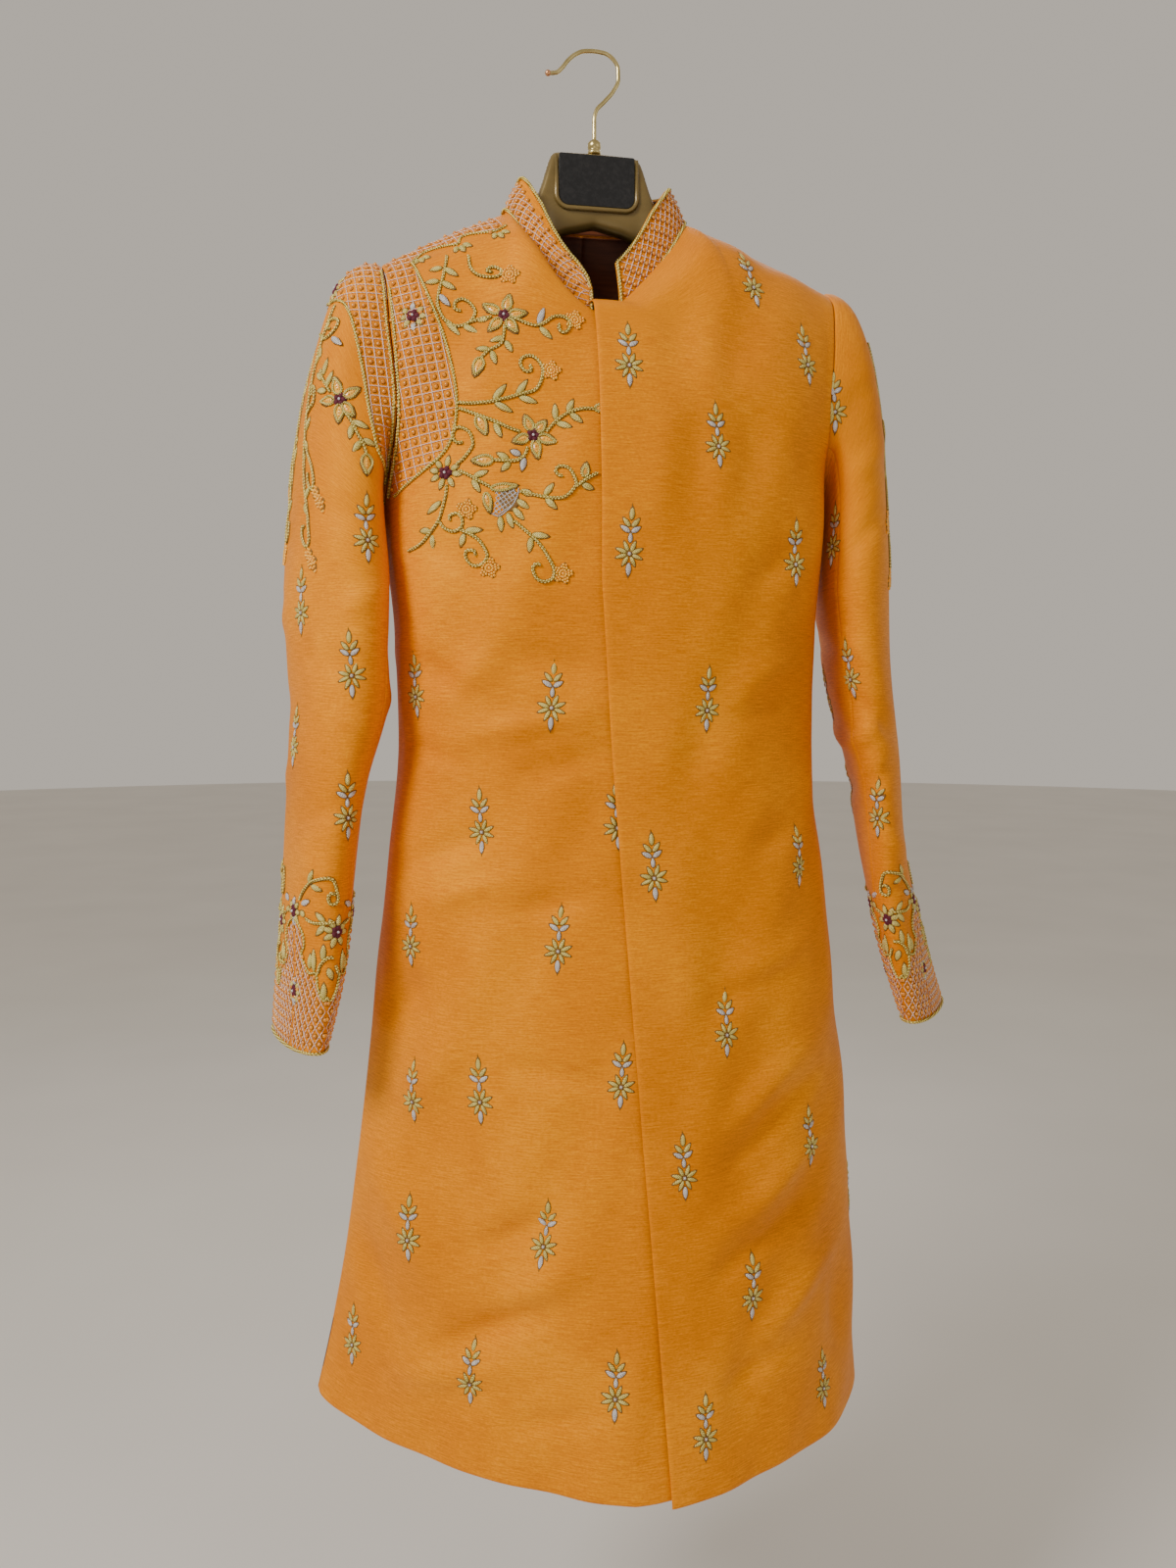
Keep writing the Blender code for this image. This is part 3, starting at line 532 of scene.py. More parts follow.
def sleeve_rows(name, degrees, cap_shares, arm_shares):
    """Rows of points from the armhole to the cuff."""
    side = SLEEVE_SIDE[name]
    table = [dict(zip(SLEEVE_COLUMNS, row)) for row in SLEEVE_SECTIONS[name]]
    rings = np.array([sleeve_ring(section, side, degrees) for section in table])
    heights = np.array([section["height"] for section in table])
    armhole = armhole_ring(side, degrees)
    topness = ((1 - np.cos(np.radians(degrees))) / 2)[:, None]
    swell = CAP_SWELL["underarm"] + (CAP_SWELL[name] - CAP_SWELL["underarm"]) * topness
    drop = CAP_DROP["underarm"] + (CAP_DROP["top"] - CAP_DROP["underarm"]) * topness
    leave = np.concatenate([side * swell, 0 * swell, CAP_RISE * topness**2 * swell], axis=1)
    arrive = np.array([side * 0.03, 0.0, -1.0]) * drop
    start = armhole + np.array([side * ARMHOLE_GAP, 0.0, 0.0])
    rows = []
    for share in cap_shares:
        square, cube = share**2, share**3
        rows.append(
            (2 * cube - 3 * square + 1) * start
            + (cube - 2 * square + share) * leave
            + (3 * square - 2 * cube) * rings[0]
            + (cube - square) * arrive
        )
    rows.extend(through(rings, heights[0] - heights, arm_shares * (heights[0] - heights[-1])))
    return np.array(rows)


def sleeve_cloth(name):
    """The whole sleeve's outer surface, once round it from the underarm by the front."""
    side = SLEEVE_SIDE[name]
    span, step, scale = UNDER_SLEEVE_SPAN, SLEEVE_DEGREE_STEP, 1 / SLEEVE_METRES_PER_DEGREE
    quarter = spaced(0, span, step, scale, fine_start=False)
    around = spaced(span, 360 - span, step, scale)
    degrees = np.concatenate([quarter[:-1], around, 360 - quarter[::-1][1:]])
    cap = spaced(0, 1, CAP_STEP, 1 / CAP_LENGTH, fine_end=False)[:-1]
    length = SLEEVE_SECTIONS[name][0][0] - SLEEVE_SECTIONS[name][-1][0]
    arm = spaced(0, 1, CLOTH_STEP / length, 1 / length, fine_start=False)
    grid = sleeve_rows(name, degrees, cap, arm)
    normal = -side * unit(np.cross(np.gradient(grid, axis=1), np.gradient(grid, axis=0)))
    normal[:, 0] = normal[:, -1] = unit(normal[:, 0] + normal[:, -1])
    turned = np.broadcast_to(degrees, grid.shape[:2])
    signed = np.where(turned > 330, turned - 360, turned)
    across = signed * SLEEVE_METRES_PER_DEGREE
    creases = np.array(SLEEVE_CREASES[name], float)
    creases[:, [0, 2]] *= 1000 * SLEEVE_METRES_PER_DEGREE
    push = crease_offset(creases, across, grid[..., 2], SLEEVE_CREASE_STRENGTH)
    walked = np.concatenate(
        [np.zeros((1, grid.shape[1])), np.cumsum(np.linalg.norm(np.diff(grid, axis=0), axis=2), 0)]
    )
    push *= smooth_step(walked / 0.03)
    push += 0.0007 * np.sin(3 * np.radians(turned) + grid[..., 2] * 40) * smooth_step(walked / 0.05)
    seam = np.minimum(np.abs(turned - UNDER_SLEEVE_SPAN), np.abs(turned - 360 + UNDER_SLEEVE_SPAN))
    push += rounded_edge(seam * SLEEVE_METRES_PER_DEGREE) + rounded_edge(walked)
    push += rounded_edge(walked[-1] - walked)
    push[:, 0] = push[:, -1] = 0.5 * (push[:, 0] + push[:, -1])
    grid = grid + normal * push[..., None]
    return grid, normal, degrees


def neck_seam():
    """Points of the neck seam and their angles, from the left front end round the back."""
    start, end = neck_angle_of_x(COLLAR_LEFT_END), 360 + neck_angle_of_x(COLLAR_RIGHT_END)
    degrees = np.linspace(start, end, 150)
    return neck_ring(degrees), degrees


def collar_cloth():
    """The stand band's outer surface, rows from the seam up, and its outward directions."""
    seam, degrees = neck_seam()
    turn = np.radians(degrees)
    outward = np.stack([np.sin(turn), -np.cos(turn), np.zeros_like(turn)], axis=-1)
    fold = np.abs((degrees + 180) % 360 - 180) / 90
    lean = np.radians(np.interp(fold, (0, 1, 2), COLLAR_LEANS))[:, None]
    rise = np.array([0.0, 0.0, 1.0])
    up = np.cos(lean) * rise - np.sin(lean) * outward
    face = np.cos(lean) * outward + np.sin(lean) * rise
    height = np.interp(fold, (0, 0.5, 1, 2), COLLAR_HEIGHTS)[:, None]
    to_end = np.linalg.norm(seam - seam[-1], axis=1)[:, None]
    short = np.clip(1 - to_end / COLLAR_CORNER, 0, 1)
    height = height * (1 - 0.42 * (1 - np.sqrt(1 - short**2)))
    rows = []
    for share in np.linspace(0, 1, COLLAR_ROWS):
        bow = 0.0012 * math.sin(math.pi * share)
        rows.append(seam + share * height * up + bow * face)
    return np.array(rows), np.broadcast_to(face, (COLLAR_ROWS, *face.shape))


# Meshes


def mesh_piece(name, points, faces, materials, picks=None, uv=None, smooth=True):
    """A finished piece at the origin, its materials picked face by face."""
    mesh = bpy.data.meshes.new(name)
    mesh.from_pydata(np.asarray(points).tolist(), [], faces)
    for material in materials:
        mesh.materials.append(material)
    if picks is not None:
        mesh.polygons.foreach_set("material_index", np.asarray(picks, dtype=np.int32))
    if uv is not None:
        layer = mesh.uv_layers.new(name="cloth")
        corners = np.empty(len(mesh.loops), dtype=np.int32)
        mesh.loops.foreach_get("vertex_index", corners)
        layer.data.foreach_set("uv", np.asarray(uv, dtype=np.float32)[corners].ravel())
    if smooth:
        mesh.shade_smooth()
    mesh.update()
    piece = bpy.data.objects.new(name, mesh)
    bpy.context.scene.collection.objects.link(piece)
    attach(piece, "root")
    return piece


def grid_uv(grid):
    """Distances along the cloth in metres, across and up."""
    across = np.linalg.norm(np.diff(grid, axis=1), axis=2)
    across = np.concatenate([np.zeros((len(grid), 1)), np.cumsum(across, axis=1)], axis=1)
    middle = grid.shape[1] // 2
    up = np.linalg.norm(np.diff(grid[:, middle], axis=0), axis=1)
    up = np.concatenate([[0], np.cumsum(up)])
    return np.stack([across - across[:, [middle]], np.broadcast_to(up[:, None], across.shape)], -1)


def shell(name, grid, normal, wall, materials, faced_rows=0):
    """A thin wall of cloth under a grid of points, with rounded rims."""
    rows, columns = grid.shape[:2]
    inner = grid - normal * wall
    middle = (grid + inner) / 2
    bulge = np.zeros_like(middle)
    bulge[0] -= unit(grid[1] - grid[0])
    bulge[-1] += unit(grid[-1] - grid[-2])
    bulge[:, 0] -= unit(grid[:, 1] - grid[:, 0])
    bulge[:, -1] += unit(grid[:, -1] - grid[:, -2])
    middle = middle + 0.35 * wall * bulge
    count = rows * columns
    index = np.arange(count).reshape(rows, columns)
    corner = [index[:-1, :-1], index[:-1, 1:], index[1:, 1:], index[1:, :-1]]
    quads = np.stack(corner, axis=-1).reshape(-1, 4)
    faces = [quads, quads[:, ::-1] + count]
    picks = [np.zeros(len(quads)), np.ones(len(quads))]
    quad_rows = np.repeat(np.arange(rows - 1), columns - 1)
    picks[1][quad_rows < faced_rows] = 0
    rim = np.concatenate([index[0], index[1:, -1], index[-1, -2::-1], index[-2:0:-1, 0]])
    following = np.roll(rim, -1)
    rim_index = 2 * count + np.arange(len(rim))
    rim_next = np.roll(rim_index, -1)
    faces.append(np.stack([following, rim, rim_index, rim_next], axis=-1))
    faces.append(np.stack([rim_next, rim_index, rim + count, following + count], axis=-1))
    picks.append(np.zeros(2 * len(rim)))
    points = [part.reshape(-1, 3) for part in (grid, inner, middle)]
    points = np.concatenate([points[0], points[1], points[2][rim]])
    uv = grid_uv(grid).reshape(-1, 2)
    uv = np.concatenate([uv, uv, uv[rim]])
    return mesh_piece(
        name, points, np.concatenate(faces).tolist(), materials, np.concatenate(picks), uv
    )


# Materials


def add_node(tree, kind, inputs=None, **settings):
    """A shader node with its settings, and its inputs linked or set."""
    made = tree.nodes.new(kind)
    for key, value in settings.items():
        setattr(made, key, value)
    for key, value in (inputs or {}).items():
        if isinstance(value, bpy.types.NodeSocket):
            tree.links.new(value, made.inputs[key])
        else:
            made.inputs[key].default_value = value
    return made


def new_material(name, **constants):
    material = bpy.data.materials.new(name)
    material.use_nodes = True
    shader = material.node_tree.nodes["Principled BSDF"]
    for key, value in constants.items():
        shader.inputs[key.replace("_", " ")].default_value = value
    return material, material.node_tree, shader


def ramp(tree, factor, *stops):
    """A colour ramp through (position, (r, g, b)) stops."""
    made = add_node(tree, "ShaderNodeValToRGB", {"Fac": factor})
    band = made.color_ramp
    while len(band.elements) < len(stops):
        band.elements.new(0.5)
    for element, (position, colour) in zip(band.elements, stops):
        element.position = position
        element.color = (*colour, 1.0)
    return made.outputs["Color"]


def tint(tree, shader, factor, *stops):
    """Colours a material by a ramp over a pattern."""
    tree.links.new(ramp(tree, factor, *stops), shader.inputs["Base Color"])


def scaled(tree, vector, scale, turn=0.0):
    mapping = add_node(tree, "ShaderNodeMapping", {"Vector": vector, "Scale": scale})
    mapping.inputs["Rotation"].default_value = (0, 0, turn)
    return mapping.outputs["Vector"]


def noise(tree, vector, scale, detail=3.0, roughness=0.55):
    values = {"Vector": vector, "Scale": scale, "Detail": detail, "Roughness": roughness}
    return add_node(tree, "ShaderNodeTexNoise", values).outputs["Fac"]


def wave(tree, vector, scale, direction, distortion=0.0):
    values = {"Vector": vector, "Scale": scale, "Distortion": distortion}
    made = add_node(tree, "ShaderNodeTexWave", values, wave_type="BANDS")
    made.bands_direction = direction
    return made.outputs["Fac"]


def blend_numbers(tree, factor, low, high):
    """A number between low and high, by a factor from 0 to 1."""
    made = add_node(tree, "ShaderNodeMapRange", {"Value": factor, "To Min": low, "To Max": high})
    return made.outputs["Result"]


def combine(tree, kind, first, second):
    return add_node(tree, "ShaderNodeMath", {0: first, 1: second}, operation=kind).outputs[0]


def bump(tree, shader, height, strength, distance):
    values = {"Height": height, "Strength": strength, "Distance": distance}
    made = add_node(tree, "ShaderNodeBump", values)
    tree.links.new(made.outputs["Normal"], shader.inputs["Normal"])


def cloth_coordinates(tree):
    return add_node(tree, "ShaderNodeUVMap", uv_map="cloth").outputs["UV"]


def object_coordinates(tree):
    return add_node(tree, "ShaderNodeTexCoord").outputs["Object"]


THREAD_WAVES = 0.314


def silk_material():
    """Slubbed silk: fine weave, long weft slubs, and a soft golden sheen."""
    material, tree, shader = new_material(
        "orange_silk",
        Roughness=0.5,
        Sheen_Weight=0.03,
        Sheen_Roughness=0.35,
        Sheen_Tint=(1.0, 0.55, 0.08, 1.0),
        Specular_IOR_Level=0.32,
        Specular_Tint=(1.0, 0.50, 0.01, 1.0),
    )
    cloth = cloth_coordinates(tree)
    slubs = noise(tree, scaled(tree, cloth, (55, 900, 1)), 1.0, 3.0, 0.6)
    flecks = noise(tree, scaled(tree, cloth, (330, 620, 1)), 1.0, 2.0, 0.7)
    # The broad clouds are partly random tone and partly painted sheen: lighter and darker patches
    # across the panels.
    tone_and_sheen_clouds = noise(tree, object_coordinates(tree), 7.0, 2.0)
    mixed = combine(tree, "MULTIPLY", slubs, 0.42)
    mixed = combine(tree, "ADD", mixed, combine(tree, "MULTIPLY", flecks, 0.30))
    mixed = combine(tree, "ADD", mixed, combine(tree, "MULTIPLY", tone_and_sheen_clouds, 0.28))
    colour = ramp(
        tree,
        mixed,
        (0.36, (0.58, 0.155, 0.0)),
        (0.50, (0.77, 0.232, 0.0)),
        (0.62, (0.96, 0.345, 0.0)),
    )
    tree.links.new(colour, shader.inputs["Base Color"])
    gloss = blend_numbers(tree, slubs, 0.58, 0.38)
    tree.links.new(gloss, shader.inputs["Roughness"])
    warp = wave(tree, cloth, THREAD_WAVES / 0.0007, "X")
    weft = wave(tree, cloth, THREAD_WAVES / 0.0009, "Y", 1.5)
    weave = combine(tree, "MULTIPLY", warp, weft)
    relief = combine(tree, "ADD", weave, combine(tree, "MULTIPLY", slubs, 1.6))
    bump(tree, shader, relief, 0.25, 0.0003)
    return material


def lining_material():
    material, tree, shader = new_material(
        "maroon_lining", Roughness=0.4, Sheen_Weight=0.1, Specular_IOR_Level=0.4
    )
    cloth = object_coordinates(tree)
    streaks = noise(tree, scaled(tree, cloth, (30, 30, 260)), 1.0)
    tint(tree, shader, streaks, (0.35, (0.130, 0.030, 0.010)), (0.7, (0.220, 0.060, 0.020)))
    twill = wave(tree, scaled(tree, cloth, (1, 1, 1), 0.7), THREAD_WAVES / 0.0008, "DIAGONAL")
    bump(tree, shader, twill, 0.2, 0.0002)
    return material


def thread_material(name, dark, mid, light, roughness, metallic, pitch=0.0011):
    """Metal thread laid side by side: fine slanting ribs along the piece's own map, coloured with
    painted shade in the grooves and painted highlight on the crests.
    """
    material, tree, shader = new_material(
        name, Roughness=roughness, Metallic=metallic, Specular_IOR_Level=0.6
    )
    cloth = cloth_coordinates(tree)
    ribs = wave(tree, scaled(tree, cloth, (1, 1, 1), 0.9), THREAD_WAVES / pitch, "Y", 0.6)
    tarnish = noise(tree, object_coordinates(tree), 160.0, 2.0)
    shade = combine(tree, "MULTIPLY", ribs, 0.6)
    shade = combine(tree, "ADD", shade, combine(tree, "MULTIPLY", tarnish, 0.4))
    # The dark stop paints shade in the grooves between the ribs and the light stop paints highlight
    # on them; tarnish mixes in at random.
    tint(tree, shader, shade, (0.22, dark), (0.5, mid), (0.78, light))
    bump(tree, shader, ribs, 0.7, 0.0005)
    return material


def bead_material(name, low, high, roughness, metallic=0.0, coat=0.6):
    material, tree, shader = new_material(
        name, Roughness=roughness, Metallic=metallic, Coat_Weight=coat, Coat_Roughness=0.15
    )
    speckle = noise(tree, object_coordinates(tree), 420.0, 2.0)
    tint(tree, shader, speckle, (0.35, low), (0.65, high))
    bump(tree, shader, speckle, 0.15, 0.0002)
    return material


def velvet_material():
    material, tree, shader = new_material(
        "burgundy_velvet",
        Roughness=0.75,
        Sheen_Weight=0.6,
        Sheen_Roughness=0.4,
        Sheen_Tint=(0.8, 0.1, 0.25, 1.0),
    )
    nap = noise(tree, object_coordinates(tree), 900.0, 2.0)
    tint(tree, shader, nap, (0.3, (0.045, 0.001, 0.006)), (0.7, (0.13, 0.004, 0.018)))
    bump(tree, shader, nap, 0.8, 0.0005)
    return material


def crystal_material():
    material, tree, shader = new_material(
        "clear_crystal", Roughness=0.06, Specular_IOR_Level=0.9, Coat_Weight=1.0
    )
    # The facets' pale and grey tones are painted reflection.
    facets = add_node(
        tree,
        "ShaderNodeTexVoronoi",
        {"Vector": object_coordinates(tree), "Scale": 900.0},
    )
    tint(
        tree, shader, facets.outputs["Distance"], (0.1, (0.92, 0.90, 0.92)), (0.7, (0.45, 0.42, 0.46))
    )
    bump(tree, shader, facets.outputs["Distance"], 0.6, 0.0004)
    return material


def plastic_material():
    """Bronze-tinted moulded plastic with a fine flow grain and a few pale scuffs."""
    material, tree, shader = new_material(
        "bronze_plastic",
        Roughness=0.34,
        Metallic=0.35,
        Specular_IOR_Level=0.5,
        Coat_Weight=0.25,
        Coat_Roughness=0.2,
    )
    place = object_coordinates(tree)
    flow = noise(tree, scaled(tree, place, (6, 6, 22)), 1.0, 4.0)
    grain = noise(tree, place, 650.0, 2.0)
    scuffs = noise(tree, scaled(tree, place, (30, 60, 170), 0.4), 1.0, 5.0, 0.75)
    colour = ramp(
        tree, flow, (0.30, (0.150, 0.098, 0.026)),
        (0.52, (0.215, 0.145, 0.042)), (0.75, (0.300, 0.210, 0.070)),
    )
    worn = add_node(
        tree, "ShaderNodeMixRGB", {"Color1": colour, "Color2": (0.50, 0.42, 0.26, 1.0)}
    )
    rubbed = ramp(tree, scuffs, (0.66, (0, 0, 0)), (0.78, (0.7, 0.7, 0.7)))
    tree.links.new(rubbed, worn.inputs["Fac"])
    tree.links.new(worn.outputs["Color"], shader.inputs["Base Color"])
    tree.links.new(blend_numbers(tree, flow, 0.26, 0.44), shader.inputs["Roughness"])
    bump(tree, shader, grain, 0.12, 0.0003)
    return material


def plate_material():
    material, tree, shader = new_material(
        "black_plate", Roughness=0.35, Specular_IOR_Level=0.5
    )
    place = object_coordinates(tree)
    dust = noise(tree, place, 240.0, 5.0, 0.7)
    tint(tree, shader, dust, (0.45, (0.006, 0.006, 0.007)), (0.8, (0.022, 0.021, 0.021)))
    tree.links.new(blend_numbers(tree, dust, 0.26, 0.46), shader.inputs["Roughness"])
    bump(tree, shader, noise(tree, place, 900.0, 2.0), 0.1, 0.0002)
    return material


def brass_material(name, low, high):
    material, tree, shader = new_material(name, Roughness=0.22, Metallic=1.0)
    place = object_coordinates(tree)
    drawn = noise(tree, scaled(tree, place, (90, 90, 90)), 1.0, 4.0)
    stain = noise(tree, place, 60.0, 3.0)
    tint(tree, shader, stain, (0.35, low), (0.65, high))
    tree.links.new(blend_numbers(tree, drawn, 0.14, 0.36), shader.inputs["Roughness"])
    bump(tree, shader, drawn, 0.06, 0.0003)
    return material


SILK = silk_material()
LINING = lining_material()
GOLD = thread_material(
    "gold_thread", (0.20, 0.12, 0.01), (0.74, 0.56, 0.07), (1.0, 0.88, 0.30), 0.42, 0.1
)
SILVER = thread_material(
    "silver_thread", (0.16, 0.13, 0.11), (0.62, 0.57, 0.53), (0.98, 0.95, 0.92), 0.38, 0.1
)
CORD = thread_material(
    "gold_cord", (0.20, 0.12, 0.01), (0.68, 0.50, 0.06), (1.0, 0.84, 0.26), 0.40, 0.1, 0.0019
)
# Flat dark brown laid under leaves, petals, cords and beads is painted shadow; past a sprig's ends it
# is dark thread.
PAINTED_SHADOW_AND_THREAD = thread_material(
    "painted_shadow_and_dark_thread", (0.12, 0.050, 0.004), (0.24, 0.105, 0.008), (0.36, 0.16, 0.015), 0.7, 0.0
)
PEARL = thread_material(
    "pearl_line", (0.50, 0.25, 0.14), (0.90, 0.58, 0.42), (1.0, 0.80, 0.64), 0.35, 0.0, 0.0021
)
AMBER = bead_material("amber_bead", (0.62, 0.17, 0.002), (0.90, 0.36, 0.015), 0.22, 0.0, 0.7)
SEED = bead_material("orange_seed", (0.95, 0.36, 0.006), (1.0, 0.54, 0.040), 0.3)
VELVET = velvet_material()
CRYSTAL = crystal_material()
PLASTIC = plastic_material()
PLATE = plate_material()
BRASS = brass_material("brass_wire", (0.50, 0.40, 0.17), (0.74, 0.60, 0.28))
COPPER = brass_material("copper_ball", (0.60, 0.26, 0.12), (0.78, 0.42, 0.22))


# Cloth pieces

CLOTHS = {}


def piece_size(grid):
    """The width and length of the strip of cloth that a panel is cut from, and its area."""
    step = np.diff(grid, axis=0)[:, :-1]
    aside = np.diff(grid, axis=1)[:-1]
    area = np.linalg.norm(np.cross(aside, step), axis=2).sum()
    uv = grid_uv(grid)
    width = (uv[..., 0].max(axis=1) - uv[..., 0].min(axis=1)).max()
    length = np.linalg.norm(np.diff(grid, axis=0), axis=2).sum(axis=0).max()
    return float(width), float(length), float(area)


def declare_cloth(grid):
    """Measures what size of cloth a piece is cut from, its own width and length and its area, and
    does nothing with them.
    """
    width, length, area = piece_size(grid)


for panel in ("left", "right"):
    for which, make in (("front", front_cloth), ("back", back_cloth)):
        name = f"{which}_{panel}"
        grid, normal, positions = make(panel)
        CLOTHS[name] = (grid, normal, positions)
        faced = int(np.searchsorted(positions, FACING_WIDTH))
        piece = shell(name + "_cloth", grid, normal, SILK_WALL, [SILK, LINING], faced)
        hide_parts(name)
        declare_cloth(grid)

for name in SLEEVE_SIDE:
    grid, normal, degrees = sleeve_cloth(name)
    CLOTHS["sleeve_" + name] = (grid, normal, degrees)
    under_span = degrees <= UNDER_SLEEVE_SPAN
    upper = (degrees >= UNDER_SLEEVE_SPAN) & (degrees <= 360 - UNDER_SLEEVE_SPAN)
    later = degrees >= 360 - UNDER_SLEEVE_SPAN
    columns = {
        "upper": np.flatnonzero(upper),
        "under": np.concatenate([np.flatnonzero(later)[:-1], np.flatnonzero(under_span)]),
    }
    for which, chosen in columns.items():
        # The right sleeve goes round the other way, so its columns are turned over
        chosen = chosen[:: SLEEVE_SIDE[name]]
        part, facing = grid[::-1][:, chosen], normal[::-1][:, chosen]
        title = f"sleeve_{name}_{which}_cloth"
        piece = shell(title, part, facing, SILK_WALL, [SILK, LINING], SLEEVE_FACING_ROWS)
        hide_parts(f"sleeve_{name}_{which}")
        declare_cloth(part)

left_grid, left_normal, positions = CLOTHS["back_left"]
right_grid, right_normal, _ = CLOTHS["back_right"]
high = height_at(positions) >= LINING_BOTTOM
near = np.flatnonzero(np.abs(left_grid[-1, :, 0]) <= LINING_HALF_WIDTH)
far = np.flatnonzero(np.abs(right_grid[-1, :, 0]) <= LINING_HALF_WIDTH)
grid = np.concatenate([left_grid[high][:, near], right_grid[high][:, far[1:]]], axis=1)
normal = np.concatenate([left_normal[high][:, near], right_normal[high][:, far[1:]]], axis=1)
grid = grid - normal * (SILK_WALL + LINING_GAP)
piece = shell("back_lining_cloth", grid, normal, LINING_WALL, [LINING, LINING])
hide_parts("back_lining")
declare_cloth(grid)

grid, normal = collar_cloth()
CLOTHS["collar"] = (grid, normal, None)
piece = shell("collar_cloth", grid, normal, COLLAR_WALL, [SILK, LINING])
for polygon in piece.data.polygons:
    behind = polygon.center.y > 0 and polygon.center.z < NECK_BACK_HEIGHT + COLLAR_LINING_RISE
    polygon.material_index = 1 if polygon.material_index and behind else 0
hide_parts("collar")
declare_cloth(grid)


# Stitching: shapes modelled once and stamped many times


def dome_shape(name, segments, rings, pointed):
    """A low dome one unit long on Y, read from a primitive: pointed as a leaf, or round."""
    bpy.ops.object.select_all(action="DESELECT")
    bpy.ops.mesh.primitive_uv_sphere_add(segments=segments, ring_count=rings, radius=1)
    dome = bpy.context.object
    dome.name = name
    corners = np.array([vertex.co[:] for vertex in dome.data.vertices])
    faces = [tuple(polygon.vertices) for polygon in dome.data.polygons]
    bpy.data.objects.remove(dome, do_unlink=True)
    x, y, z = corners[:, 0], corners[:, 2], -corners[:, 1]
    if pointed:
        radius = np.maximum(np.hypot(x, z), 1e-6)
        profile = (1 - y**2) ** 0.66 * (1 - 0.20 * y)
        x, z = x * profile / radius, z * profile / radius
    z = np.where(z < 0, 0.25 * z, z)
    return np.stack([x / 2, y / 2, z], axis=-1), faces


LEAF = dome_shape("leaf_shape", 8, 6, True)
LEAF_SHADOW = dome_shape("leaf_shadow_shape", 8, 4, True)
DOT = dome_shape("dot_shape", 6, 4, False)
KNOT = dome_shape("knot_shape", 8, 5, False)
UP = np.array([0.0, 0.0, 1.0])
VIEWS = {"front": (0, 1, 0), "back": (0, -1, 0)}
VIEW_DISTANCE = 0.4
# Sizes of the laid cords, lines and beads
SEW_STEP = 0.0010
BORDER_STEP = 0.004
BORDER_CORD = 0.0034
THIN_BORDER_CORD = 0.0028
CAP_SEAM_CORD = 0.0032
STEM_CORD = 0.0033
COLLAR_CORD = 0.0036
SEAM_CORD_INSET = 0.0024
# Margin and height of the flat brown leaves that paint shadow under leaves and petals
SHADOW_MARGIN = 0.0008
SHADOW_HEIGHT = 0.0006


class Stitches:
    """Stitched pieces gathered into one mesh, with a material for each face."""

    def __init__(self):
        self.points, self.faces, self.picks, self.uv, self.count = [], [], [], [], 0
        self.materials = []

    def add(self, points, faces, material, uv):
        if material not in self.materials:
            self.materials.append(material)
        pick = self.materials.index(material)
        self.faces.extend([tuple(corner + self.count for corner in face) for face in faces])
        self.picks.extend([pick] * len(faces))
        self.points.append(points)
        self.uv.append(uv)
        self.count += len(points)

    def finish(self, name):
        points, uv = np.concatenate(self.points), np.concatenate(self.uv)
        piece = mesh_piece(name, points, self.faces, self.materials, self.picks, uv)
        return piece


class Ground:
    """The outer face of some shells, to stitch on where it is seen from one side."""

    def __init__(self, *names):
        points, faces, count = [], [], 0
        for name in names:
            grid = CLOTHS[name][0]
            index = np.arange(grid.shape[0] * grid.shape[1]).reshape(grid.shape[:2]) + count
            corner = [index[:-1, :-1], index[:-1, 1:], index[1:, 1:], index[1:, :-1]]
            faces += np.stack(corner, axis=-1).reshape(-1, 4).tolist()
            points += grid.reshape(-1, 3).tolist()
            count += index.size
        self.tree = BVHTree.FromPolygons(points, faces)

    def spot(self, start, heading, reach):
        hit, normal, _, _ = self.tree.ray_cast(start.tolist(), heading.tolist(), reach * 3)
        if hit is None:
            near = start + heading * reach
            hit, normal, _, _ = self.tree.find_nearest(near.tolist())
        normal = np.array(normal)
        return np.array(hit), -normal if normal @ heading > 0 else normal

    def seen_from(self, view, reach=0.3):
        """A place function of what a viewer on one side sees, across and up in metres."""
        heading = np.array(VIEWS[view], float)
        right = np.cross(heading, UP)

        def place(across, up):
            start = right * across + UP * up - heading * VIEW_DISTANCE
            return self.spot(start, heading, reach)

        return place

    def motif_place(self, view, across, up, turn=0.0):
        """A place function round one spot, level with the cloth there."""
        middle, normal = self.seen_from(view)(across, up)
        upward = unit(UP - normal * normal[2])
        right = np.cross(upward, normal)
        swing = math.radians(turn)
        aside = right * math.cos(swing) - upward * math.sin(swing)
        upward = upward * math.cos(swing) + right * math.sin(swing)

        def place(across, up):
            start = middle + aside * across + upward * up + normal * 0.02
            return self.spot(start, -normal, 0.02)

        return place


